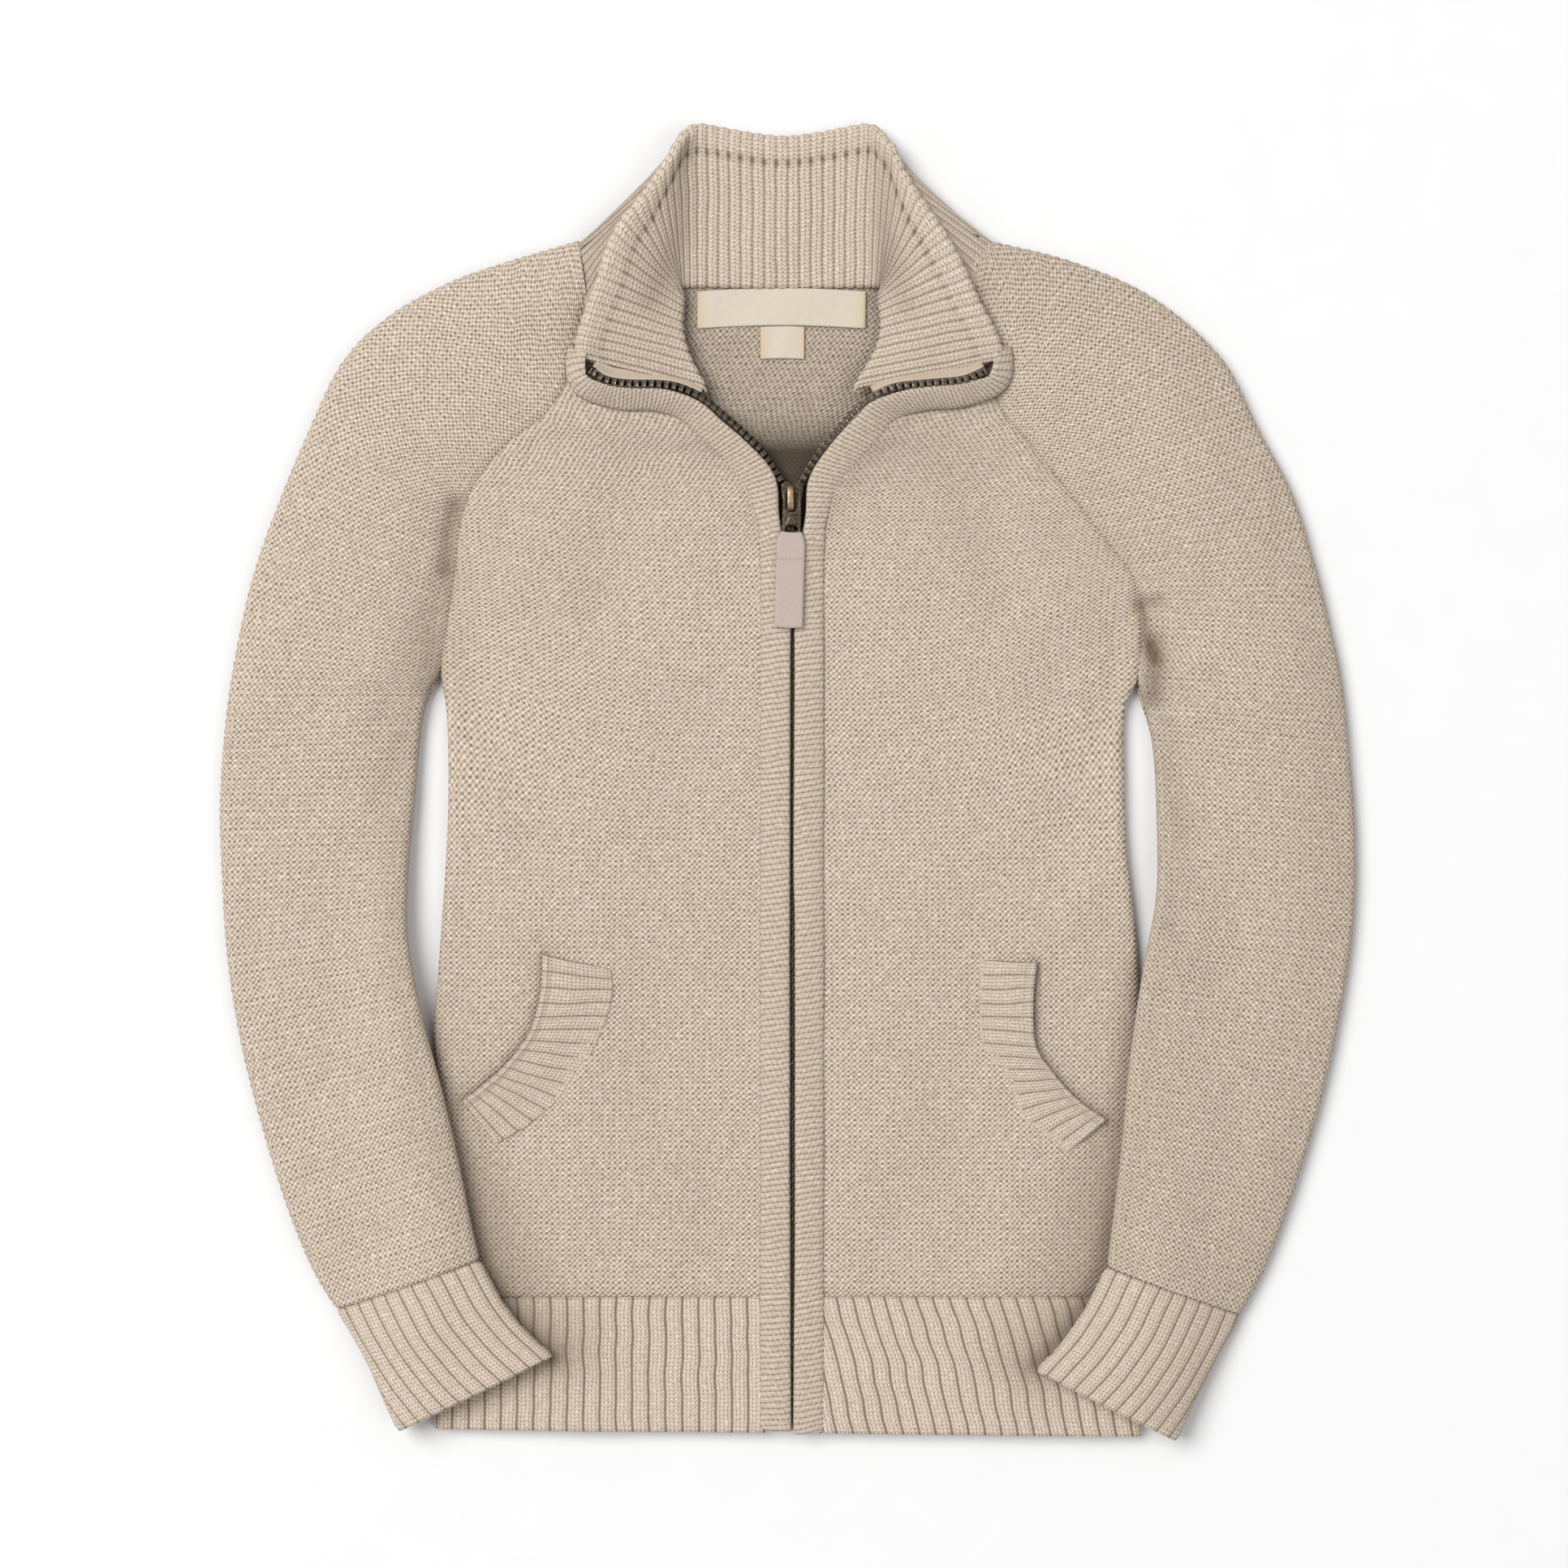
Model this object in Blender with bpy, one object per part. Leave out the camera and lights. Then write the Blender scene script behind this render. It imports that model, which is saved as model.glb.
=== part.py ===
"""Child's zip-front knitted cardigan, laid flat with its collar opened.

X runs to the right of the flat garment, Y from hem to collar, Z up. The origin is
under the middle of the garment, on the surface it lies on. Tables are in millimetres.
"""
import math
from collections import namedtuple

import bmesh
import bpy
from mathutils import Matrix, Vector

MM = 0.001

KNIT_WALL = 2.8         # body and sleeve knit
RIB_WALL = 2.4          # collar rib, one layer
BAND_WALL = 2.3         # knitted strips beside the zip
TRIM_WALL = 1.8         # pocket edging
SEAM_GAP = 0.5          # between two pieces sewn side by side
CUFF_GAP = 0.8
LAYER_GAP = 0.4         # between one piece and another that lies on it
BODY_HEIGHT = 7.0       # front and back, laid on each other
FRONT_CROWN = 1.0       # loft of each front panel
SLEEVE_HEIGHT = 7.4     # flattened sleeve at its edges
SLEEVE_CROWN = 2.0      # loft along the middle of a sleeve
HEM_SEAM_Y = -190.0     # where the knit meets the hem rib
HEM_LEFT_Y = -239.4
UNDERARM_Y = 26.0       # the side seams begin to open here
UNDERARM_CLOSING = 0.92
HEM_RIGHT_Y = -242.1
ZIP_X = 2.2             # line of the closed zip
BAND_WIDTH = 12.0
LAP_GAP = 1.2           # a sleeve over the front
CUFF_RAMP_OUT = 18.0    # a sleeve starts to rise this far outside the body's edge
CUFF_RAMP_IN = 1.0      # and lies on the front from this far inside it

BACK_TOP = KNIT_WALL
MID = BODY_HEIGHT / 2

SideRow = namedtuple("SideRow", "y x")
SeamRow = namedtuple("SeamRow", "seam_x seam_y fold_x fold_y front_x front_y")
SleeveRow = namedtuple("SleeveRow", "fold_x fold_y seam_x seam_y lap")
CollarRow = namedtuple("CollarRow", "top_x top_y top_z sweep neck_x neck_y neck_z base_x base_y base_z")
BandRow = namedtuple("BandRow", "teeth_x teeth_y teeth_z panel_x panel_y panel_z")
TrimRow = namedtuple("TrimRow", "mouth_x mouth_y edge_x edge_y")
ZipRow = namedtuple("ZipRow", "x y z")

# Side edges of the body, from hem to underarm
SIDE_LEFT = [SideRow(*row) for row in (
    (-239.4, -131.0), (-215, -129.5), (-190, -127.2), (-160, -125.8), (-130, -127.0),
    (-96, -131.0), (-48, -127.5), (-8, -125.0), (25, -126.0))]
SIDE_RIGHT = [SideRow(*row) for row in (
    (-242.1, 131.5), (-215, 130.3), (-190, 128.7), (-160, 127.8), (-130, 128.7),
    (-96, 130.3), (-62, 130.8), (-30, 126.4), (0, 125.2), (22, 125.4))]

# Raglan seams from underarm to neck: the seam, the sleeve's fold beside it, the front's inner edge
RAGLAN_LEFT = [SeamRow(*row) for row in (
    (-128.0, 41.5, -204.0, 49.0, -10.4, 41.5),
    (-126.0, 59.0, -197.5, 77.5, -10.4, 62.0),
    (-123.0, 80.5, -188.5, 103.0, -10.6, 84.0),
    (-120.5, 99.0, -177.5, 129.5, -12.6, 99.5),
    (-114.0, 113.0, -164.5, 156.0, -18.6, 110.5),
    (-103.0, 126.0, -146.5, 173.5, -27.0, 120.0),
    (-89.0, 137.0, -124.5, 185.5, -36.5, 128.0),
    (-80.5, 152.0, -105.0, 192.5, -50.0, 146.0),
    (-75.5, 173.5, -86.0, 197.0, -68.0, 166.0))]
RAGLAN_RIGHT = [SeamRow(*row) for row in (
    (130.0, 38.5, 206.5, 33.0, 14.6, 38.5),
    (133.0, 60.0, 202.5, 54.0, 14.6, 60.0),
    (127.5, 77.5, 195.5, 82.0, 14.8, 80.0),
    (115.5, 93.5, 187.5, 107.0, 16.6, 97.0),
    (104.0, 108.5, 175.0, 131.0, 22.2, 109.0),
    (92.0, 123.5, 161.0, 157.5, 31.0, 119.5),
    (80.5, 137.0, 136.0, 179.5, 39.5, 128.0),
    (74.5, 152.0, 106.0, 193.0, 51.5, 146.0),
    (70.0, 171.5, 79.5, 200.5, 63.5, 165.0))]

# Sleeves from underarm to cuff; lap is how far the sleeve follows the body's edge upwards
SLEEVE_LEFT = [SleeveRow(*row) for row in (
    (-207.5, 22.0, -134.5, 25.0, 0.0),
    (-210.0, -8.5, -137.0, -8.5, 0.2),
    (-208.5, -36.5, -137.5, -32.0, 0.5),
    (-205.5, -65.0, -136.5, -56.0, 0.9),
    (-200.0, -96.5, -133.0, -83.0, 1.0),
    (-191.5, -131.0, -127.0, -113.0, 1.0),
    (-182.0, -160.0, -121.0, -138.5, 1.0),
    (-173.0, -181.0, -116.5, -161.0, 1.0),
    (-165.0, -195.5, -113.0, -176.0, 1.0))]
SLEEVE_RIGHT = [SleeveRow(*row) for row in (
    (209.0, 8.0, 135.5, 15.0, 0.0),
    (210.5, -21.5, 137.0, -15.0, 0.5),
    (208.0, -50.0, 134.5, -42.0, 1.0),
    (204.0, -79.0, 130.0, -70.0, 1.0),
    (198.0, -113.0, 126.5, -102.0, 1.0),
    (188.5, -146.0, 123.5, -133.0, 1.0),
    (177.0, -176.0, 120.5, -159.0, 1.0),
    (166.0, -197.5, 118.0, -178.5, 1.0))]
CUFF_LEFT = [SleeveRow(*row) for row in (
    (-165.0, -195.5, -113.0, -176.0, 1.0),
    (-157.5, -210.5, -104.5, -191.5, 1.0),
    (-150.5, -224.5, -95.0, -203.0, 1.0),
    (-143.5, -239.5, -86.0, -211.0, 1.0))]
CUFF_RIGHT = [SleeveRow(*row) for row in (
    (166.0, -197.5, 118.0, -178.5, 1.0),
    (160.0, -212.0, 110.5, -193.5, 1.0),
    (153.5, -227.0, 101.5, -206.5, 1.0),
    (147.0, -243.0, 92.0, -216.5, 1.0))]

# Collar from the left zip end round the back to the right zip end: its top edge, the angle that
# the cloth turns through there, the inner layer's neck edge and the outer layer's seam
COLLAR = [CollarRow(*row) for row in (
    (-77.5, 156.0, 10.4, 180, -28.5, 144.8, 12.6, -30.0, 140.5, 7.5),
    (-78.0, 162.0, 10.7, 180, -29.8, 151.8, 12.4, -41.0, 146.5, 7.5),
    (-76.0, 169.5, 11.2, 180, -32.5, 159.8, 11.8, -52.0, 155.5, 7.5),
    (-73.0, 178.0, 11.9, 170, -34.5, 167.5, 11.0, -66.0, 169.5, 7.5),
    (-69.5, 187.0, 12.8, 150, -36.5, 174.0, 10.0, -74.2, 175.5, 7.3),
    (-67.0, 195.5, 12.8, 125, -38.0, 178.5, 9.0, -76.2, 180.0, 7.0),
    (-61.5, 207.0, 12.3, 115, -38.8, 181.5, 8.0, -79.0, 186.2, 6.8),
    (-53.5, 217.0, 11.5, 112, -39.2, 182.5, 7.4, -81.8, 192.0, 6.8),
    (-46.5, 227.5, 10.6, 118, -39.4, 183.2, 7.0, -84.3, 197.0, 6.6),
    (-41.5, 236.5, 8.6, 140, -39.2, 183.6, 6.6, -86.2, 199.5, 3.2),
    (-39.0, 240.6, 6.2, 160, -38.4, 183.8, 6.2, -80.5, 190.0, 0.2),
    (-36.0, 243.2, 4.4, 176, -36.6, 183.8, 5.8, -73.5, 178.4, 0.0),
    (-32.0, 244.2, 3.4, 180, -33.0, 183.6, 5.6, -60.0, 180.4, 0.0),
    (-26.0, 243.4, 2.7, 180, -26.5, 183.2, 5.4, -38.0, 184.2, 0.0),
    (-14.0, 241.2, 2.6, 180, -14.5, 182.9, 5.4, -16.0, 184.2, 0.0),
    (-1.0, 239.8, 2.6, 180, -1.0, 182.8, 5.4, -1.0, 184.0, 0.0),
    (12.0, 241.2, 2.6, 180, 12.5, 182.9, 5.4, 14.0, 184.2, 0.0),
    (24.5, 243.6, 2.7, 180, 24.0, 183.2, 5.4, 35.0, 184.2, 0.0),
    (30.5, 244.2, 3.4, 180, 30.0, 183.6, 5.6, 56.0, 180.6, 0.0),
    (34.2, 242.6, 4.4, 176, 33.0, 183.8, 5.8, 67.8, 177.0, 0.0),
    (37.2, 239.0, 6.2, 160, 34.2, 183.8, 6.2, 73.8, 190.0, 0.2),
    (39.8, 234.0, 8.6, 140, 34.8, 183.6, 6.6, 79.2, 201.8, 3.2),
    (44.5, 225.0, 10.6, 118, 35.0, 183.2, 7.0, 77.4, 199.0, 6.6),
    (51.0, 214.5, 11.5, 112, 35.0, 182.5, 7.4, 75.4, 193.0, 6.8),
    (58.0, 204.0, 12.3, 115, 34.8, 181.5, 8.0, 73.2, 186.5, 6.8),
    (64.0, 193.5, 12.8, 125, 34.2, 178.5, 9.0, 71.2, 180.0, 7.0),
    (68.0, 185.0, 12.8, 150, 33.2, 174.0, 10.0, 69.0, 174.0, 7.3),
    (72.0, 176.5, 11.9, 170, 31.5, 167.5, 11.0, 61.5, 168.5, 7.5),
    (76.5, 168.5, 11.2, 180, 29.0, 159.8, 11.8, 51.0, 155.5, 7.5),
    (79.5, 161.5, 10.7, 180, 25.8, 151.8, 12.4, 41.5, 146.5, 7.5),
    (80.5, 156.0, 10.4, 180, 23.5, 144.6, 12.6, 31.0, 140.0, 7.5))]

# Bands beside the zip, from hem to the collar's corner: teeth side, then panel side
BAND_LEFT = [BandRow(*row) for row in (
    (1.9, -240.0, 8.4, -10.0, -239.0, 8.0),
    (1.5, -160.0, 8.6, -10.0, -160.0, 8.0),
    (1.4, -60.0, 8.6, -10.0, -60.0, 8.0),
    (1.6, 40.0, 8.6, -10.0, 40.0, 8.0),
    (1.6, 78.0, 8.6, -10.0, 78.0, 8.0),
    (-0.6, 89.0, 8.6, -10.4, 88.0, 8.0),
    (-2.3, 97.0, 8.8, -11.0, 96.0, 8.0),
    (-3.8, 108.5, 9.2, -14.8, 107.0, 8.2),
    (-8.0, 116.6, 10.2, -19.0, 113.0, 8.6),
    (-16.0, 125.0, 11.2, -25.5, 120.5, 9.2),
    (-25.1, 132.6, 12.4, -33.0, 127.6, 9.9),
    (-33.2, 139.4, 13.4, -39.5, 133.6, 10.0),
    (-47.0, 143.9, 14.2, -50.0, 137.0, 10.1),
    (-60.0, 144.4, 14.4, -62.0, 137.2, 10.1),
    (-70.6, 145.9, 14.4, -75.5, 141.3, 10.2))]
BAND_RIGHT = [BandRow(*row) for row in (
    (2.4, -241.0, 8.4, 14.2, -240.0, 8.0),
    (3.0, -160.0, 8.6, 14.2, -160.0, 8.0),
    (3.1, -60.0, 8.6, 14.2, -60.0, 8.0),
    (2.8, 40.0, 8.6, 14.2, 40.0, 8.0),
    (2.8, 78.0, 8.6, 14.2, 78.0, 8.0),
    (5.0, 89.0, 8.6, 14.6, 88.0, 8.0),
    (6.7, 97.0, 8.8, 15.2, 96.0, 8.0),
    (8.2, 108.5, 9.2, 18.4, 106.5, 8.2),
    (12.2, 116.8, 10.2, 23.0, 113.0, 8.6),
    (19.4, 126.2, 11.2, 29.5, 120.5, 9.2),
    (27.4, 134.4, 12.6, 36.0, 127.8, 9.9),
    (33.5, 139.8, 13.6, 41.0, 133.8, 10.0),
    (48.0, 143.9, 14.2, 52.0, 137.0, 10.1),
    (62.0, 145.2, 14.4, 64.5, 138.2, 10.1),
    (72.5, 147.5, 14.4, 77.5, 142.5, 10.2))]

# Pocket edging, from its top to the side: the pocket mouth, then the sewn edge
TRIM_LEFT = [TrimRow(*row) for row in (
    (-90.0, -63.5, -64.8, -69.0),
    (-90.8, -78.0, -64.2, -78.5),
    (-95.0, -92.5, -68.5, -93.0),
    (-104.0, -104.5, -79.0, -112.0),
    (-113.0, -112.5, -94.0, -125.5),
    (-119.5, -117.5, -107.0, -133.5))]
TRIM_RIGHT = [TrimRow(*row) for row in (
    (92.5, -66.5, 71.5, -65.5),
    (91.2, -80.0, 71.5, -81.0),
    (92.0, -96.5, 71.5, -95.0),
    (98.0, -106.5, 77.5, -106.5),
    (107.5, -117.0, 88.0, -124.0),
    (118.0, -124.5, 104.0, -137.0))]

# Teeth of the open zip, from the slider to the top stop
ZIP_LEFT = [ZipRow(*row) for row in (
    (-3.4, 113.6, 6.2), (-9.0, 121.8, 8.4), (-15.9, 128.7, 10.0), (-24.0, 135.8, 11.6),
    (-32.0, 142.0, 12.8), (-39.5, 145.2, 13.4), (-47.0, 146.4, 13.6), (-58.0, 146.6, 13.6),
    (-66.5, 148.0, 13.6), (-72.4, 151.6, 13.6))]
ZIP_RIGHT = [ZipRow(*row) for row in (
    (7.2, 113.6, 6.2), (12.4, 121.8, 8.4), (19.4, 130.4, 10.0), (26.2, 137.8, 11.6),
    (32.5, 142.2, 12.8), (40.5, 145.4, 13.4), (52.8, 146.8, 13.6), (65.0, 148.0, 13.6),
    (73.4, 151.4, 13.6))]
TEETH_WIDTH = 2.8
TEETH_HEIGHT = 1.5
TEETH_Z = 5.0           # middle of the teeth where the zip is closed
ZIP_END_Y = -237.0
TAPE_WALL = 0.6
TAPE_WIDTH = 9.0        # hidden between band and front
TAPE_TOP_Y = 88.0
COLLAR_TAPE_WIDTH = 2.2  # the part of the tape that shows beside the open teeth
COLLAR_TAPE_LIFT = 0.2
FRONT_EDGE_LEFT = -10.4  # the fronts' straight edges beside the bands
FRONT_EDGE_RIGHT = 14.6

SLIDER_Y = 104.6
SLIDER_LENGTH = 11.2
SLIDER_TOP_WIDTH = 8.2
SLIDER_TAIL_WIDTH = 5.6
SLIDER_PLATE = 1.0
SLIDER_FOOT_Z = 3.15
SLIDER_PLATE_Z = 6.2
BRIDGE_LENGTH = 8.2
BRIDGE_WIDTH = 2.2
BRIDGE_TOP_Z = 10.8
BRIDGE_BAR = 0.9

HINGE_Y = 107.0
HINGE_Z = 8.6
PIN_RADIUS = 0.5
LINK_WIDTH = 6.8
LINK_SLOT_WIDTH = 4.0
LINK_SLOT_LENGTH = 7.9
LINK_LENGTH = 14.2
LINK_THICK = 1.1
LINK_DROP = 1.2         # the link's far end rests this much higher than its hinge
PULL_TAPE_WIDTH = 10.4
PULL_TAPE_NECK = 6.2
PULL_TAPE_LENGTH = 36.0
PULL_TAPE_THICK = 1.6

LABEL_WIDTH = 62.5
LABEL_HEIGHT = 13.4
LABEL_TOP_Y = 181.2
LABEL_X = -1.8
TAG_WIDTH = 16.2
TAG_TOP_Y = 167.4
TAG_HEIGHT = 12.0
TAG_X = -1.5
LABEL_WALL = 0.7

COLOURS = {
    "knit": (0.56, 0.46, 0.36, 1.0),
    "rib": (0.58, 0.48, 0.38, 1.0),
    "zip_tape": (0.50, 0.43, 0.36, 1.0),
    "brass": (0.16, 0.12, 0.07, 1.0),
    "twill": (0.52, 0.41, 0.36, 1.0),
    "label": (0.80, 0.72, 0.57, 1.0),
}


def clear_scene():
    for item in list(bpy.data.objects):
        bpy.data.objects.remove(item, do_unlink=True)


def material(name, metallic=0.0, roughness=0.9):
    found = bpy.data.materials.get(name)
    if found:
        return found
    made = bpy.data.materials.new(name)
    made.use_nodes = True
    shader = made.node_tree.nodes["Principled BSDF"]
    shader.inputs["Base Color"].default_value = COLOURS[name]
    shader.inputs["Metallic"].default_value = metallic
    shader.inputs["Roughness"].default_value = roughness
    return made


def add_object(name, mesh, finish):
    made = bpy.data.objects.new(name, mesh)
    bpy.context.collection.objects.link(made)
    mesh.materials.append(finish)
    return made


def mix(a, b, amount):
    return a + (b - a) * amount


def ease(value):
    value = min(max(value, 0.0), 1.0)
    return value * value * (3 - 2 * value)


def smooth_rows(rows, steps):
    """Rows of a table joined by a smooth curve, with steps rows for each span."""
    made = []
    last = len(rows) - 1
    for span in range(last):
        before = rows[max(span - 1, 0)]
        after = rows[min(span + 2, last)]
        for step in range(steps):
            t = step / steps
            made.append([
                0.5 * (2 * b + (c - a) * t + (2 * a - 5 * b + 4 * c - d) * t * t
                       + (3 * b - a - 3 * c + d) * t ** 3)
                for a, b, c, d in zip(before, rows[span], rows[span + 1], after)])
    made.append(list(rows[last]))
    return made


def read_at(table, y):
    """x of a side edge at the height y."""
    if y <= table[0].y:
        return table[0].x
    for low, high in zip(table, table[1:]):
        if y <= high.y:
            return mix(low.x, high.x, (y - low.y) / (high.y - low.y))
    return table[-1].x


def front_top(x, y):
    """Height of the front's outer face away from its edges."""
    across = min(max((abs(x - ZIP_X) - BAND_WIDTH) / 112.0, 0.0), 1.0)
    return BODY_HEIGHT + FRONT_CROWN * math.sin(math.pi * across) * ease((100 - y) / 60)


def grid_mesh(name, grid, flip):
    mesh = bpy.data.meshes.new(name)
    width = len(grid[0])
    points = [Vector(point) * MM for row in grid for point in row]
    faces = []
    for i in range(len(grid) - 1):
        for j in range(width - 1):
            a = i * width + j
            face = (a, a + 1, a + width + 1, a + width)
            faces.append(face[::-1] if flip else face)
    mesh.from_pydata(points, [], faces)
    return mesh


def cloth(name, grid, wall, finish, flip=False):
    """A knitted piece: its outer face from a grid of points, given a wall inwards."""
    mesh = grid_mesh(name, grid, flip)
    mesh.shade_smooth()
    made = add_object(name, mesh, finish)
    solidify = made.modifiers.new("Wall", "SOLIDIFY")
    solidify.thickness = wall * MM
    solidify.offset = -1
    solidify.use_rim = True
    return made


def strip(name, path, width, height, finish, shift=0.0):
    """A flat strip along a path of (x, y, z), moved sideways by shift."""
    rings = []
    for i, point in enumerate(path):
        ahead = Vector(path[min(i + 1, len(path) - 1)])
        behind = Vector(path[max(i - 1, 0)])
        along = (ahead - behind).normalized()
        side = Vector((-along.y, along.x, 0)).normalized()
        up = side.cross(-along).normalized()
        centre = Vector(point) + side * shift
        rings.append([centre + side * (sx * width / 2) + up * (sz * height / 2)
                      for sx, sz in ((-1, -1), (1, -1), (1, 1), (-1, 1))])
    mesh = bpy.data.meshes.new(name)
    bm = bmesh.new()
    loops = [[bm.verts.new(point * MM) for point in ring] for ring in rings]
    for near, far in zip(loops, loops[1:]):
        for k in range(4):
            bm.faces.new((near[k], near[(k + 1) % 4], far[(k + 1) % 4], far[k]))
    bm.faces.new(loops[0][::-1])
    bm.faces.new(loops[-1])
    bmesh.ops.recalc_face_normals(bm, faces=bm.faces)
    bm.to_mesh(mesh)
    bm.free()
    return add_object(name, mesh, finish)


FLAT_STEPS = (0.0, 0.15, 0.38, 0.62, 0.85, 1.0)
BACK_STEPS = (0.0, 0.08, 0.24, 0.41, 0.56, 0.76, 0.93, 1.0)
ARC_STEPS = (0.3, 0.6, 0.85, 1.0)
ARC_END = 0.85          # the rolled edge is upright from this step on
EDGE_LIP = 0.35
HALF_OPEN_SPREAD = 6.4  # keeps the walls apart where a side seam runs into the underarm
SLEEVE_STEPS = (0.0, 0.12, 0.24, 0.36, 0.47, 0.57, 0.67, 0.77, 0.88, 1.0)


def roll_edge(step, radius, closing, face_z, middle):
    """Reach and height of an edge that rolls from a face to the seam half way down a tube."""
    angle = min(step / ARC_END, 1.0) * math.pi / 2
    way = 1 if face_z > middle else -1
    lip = EDGE_LIP if step == 1.0 else 0.0
    spread = HALF_OPEN_SPREAD * closing * (1 - closing)
    end = middle + way * (SEAM_GAP / 2 + EDGE_LIP + spread)
    rolled = end + (face_z - end) * math.cos(angle) - way * lip
    return mix(radius * step, radius * math.sin(angle), closing), mix(face_z, rolled, closing)


def top_section(inner, outer, closing):
    """Front panel from its inner edge to the side, where closing rolls it down to the side seam."""
    inner = Vector(inner)
    outer = Vector(outer)
    width = (outer - inner).length
    across = (outer - inner) / width
    radius = min(MID, width * 0.3)
    points = []
    for step in FLAT_STEPS:
        spot = inner + across * (step * (width - radius))
        points.append((spot.x, spot.y, front_top(spot.x, spot.y)))
    for step in ARC_STEPS:
        reach, height = roll_edge(step, radius, closing, front_top(outer.x, outer.y), MID)
        spot = inner + across * (width - radius + reach)
        points.append((spot.x, spot.y, height))
    return points


def back_section(left, right, close_left, close_right, rise):
    """Back panel from side to side, on the ground, its edges rolled up to the side seams."""
    left = Vector(left)
    right = Vector(right)
    width = (right - left).length
    across = (right - left) / width
    places = []
    for step in reversed(ARC_STEPS):
        reach, height = roll_edge(step, MID, close_left, 0.0, MID)
        places.append((MID - reach, height))
    places += [(MID + step * (width - 2 * MID), 0.0) for step in BACK_STEPS]
    for step in ARC_STEPS:
        reach, height = roll_edge(step, MID, close_right, 0.0, MID)
        places.append((width - MID + reach, height))
    points = []
    for place, height in places:
        spot = left + across * place
        lift = rise * (1 - abs(2 * place / width - 1) ** 3)
        points.append((spot.x, spot.y + lift, height))
    return points


def lap_height(x, y, side, lap):
    """How far the body's edge lifts what lies over it."""
    table = SIDE_LEFT if side < 0 else SIDE_RIGHT
    inside = side * (read_at(table, y) - x)
    return lap * (front_top(x, y) + LAP_GAP) * ease(
        (inside + CUFF_RAMP_OUT) / (CUFF_RAMP_OUT + CUFF_RAMP_IN))


def sleeve_section(seam, fold, closing, lap, side):
    """Sleeve from its front seam over the outer fold and back underneath."""
    seam = Vector(seam)
    fold = Vector(fold)
    width = (fold - seam).length
    across = (fold - seam) / width
    radius = SLEEVE_HEIGHT / 2
    flat = width - 2 * radius

    def crown(place):
        return SLEEVE_CROWN * math.sin(math.pi * min(max((place - radius) / flat, 0), 1)) ** 0.8

    edge_height = mix(front_top(seam.x, seam.y), SLEEVE_HEIGHT, closing)
    places = []
    for step in reversed(ARC_STEPS):
        reach, height = roll_edge(step, radius, closing, edge_height, radius)
        places.append((radius - reach, height))
    for step in SLEEVE_STEPS:
        place = radius + step * flat
        places.append((place, mix(edge_height, SLEEVE_HEIGHT, step) + crown(place)))
    for angle in (45, 0, -45):
        turn = math.radians(angle)
        places.append((width - radius + radius * math.cos(turn), radius + radius * math.sin(turn)))
    for step in reversed(SLEEVE_STEPS):
        places.append((radius + step * flat, 0.0))
    for step in ARC_STEPS:
        reach, height = roll_edge(step, radius, closing, 0.0, radius)
        places.append((radius - reach, height))
    points = []
    for place, height in places:
        spot = seam + across * place
        points.append((spot.x, spot.y, height + lap_height(spot.x, spot.y, side, lap)))
    return points


def towards(point, target, distance):
    """The point moved by a distance towards a target, to leave a seam's gap."""
    point = Vector(point)
    return point + (Vector(target) - point).normalized() * distance


def build_fronts():
    for name, side, raglan, edge in (("left", -1, RAGLAN_LEFT, SIDE_LEFT),
                                     ("right", 1, RAGLAN_RIGHT, SIDE_RIGHT)):
        band_x = FRONT_EDGE_LEFT if side < 0 else FRONT_EDGE_RIGHT
        grid = []
        for y in (HEM_SEAM_Y + SEAM_GAP / 2, -165, -140, -115, -90, -65, -40, -15, 10, UNDERARM_Y):
            closing = UNDERARM_CLOSING if y == UNDERARM_Y else 1.0
            grid.append(top_section((band_x, y), (read_at(edge, y), y), closing))
        for i, row in enumerate(raglan):
            seam = towards((row.seam_x, row.seam_y), (row.front_x, row.front_y), SEAM_GAP / 2)
            grid.append(top_section((row.front_x, row.front_y), seam, 0.5 if i == 0 else 0.0))
        cloth("front_" + name, grid, KNIT_WALL, material("knit"), flip=side < 0)


def build_back():
    grid = []
    for y in (HEM_SEAM_Y + SEAM_GAP / 2, -160, -130, -96, -62, -30, 0, 10, UNDERARM_Y):
        closing = UNDERARM_CLOSING if y == UNDERARM_Y else 1.0
        grid.append(back_section((read_at(SIDE_LEFT, y), y), (read_at(SIDE_RIGHT, y), y),
                                 closing, closing, 0))
    for i, (left, right) in enumerate(zip(RAGLAN_LEFT, RAGLAN_RIGHT)):
        start = (left.seam_x, left.seam_y)
        end = (right.seam_x, right.seam_y)
        closing = 0.5 if i == 0 else 0.0
        rise = 9.0 * max(i - 5, 0) / 3
        grid.append(back_section(towards(start, end, SEAM_GAP / 2), towards(end, start, SEAM_GAP / 2),
                                 closing, closing, rise))
    cloth("back", grid, KNIT_WALL, material("knit"), flip=True)


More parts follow.
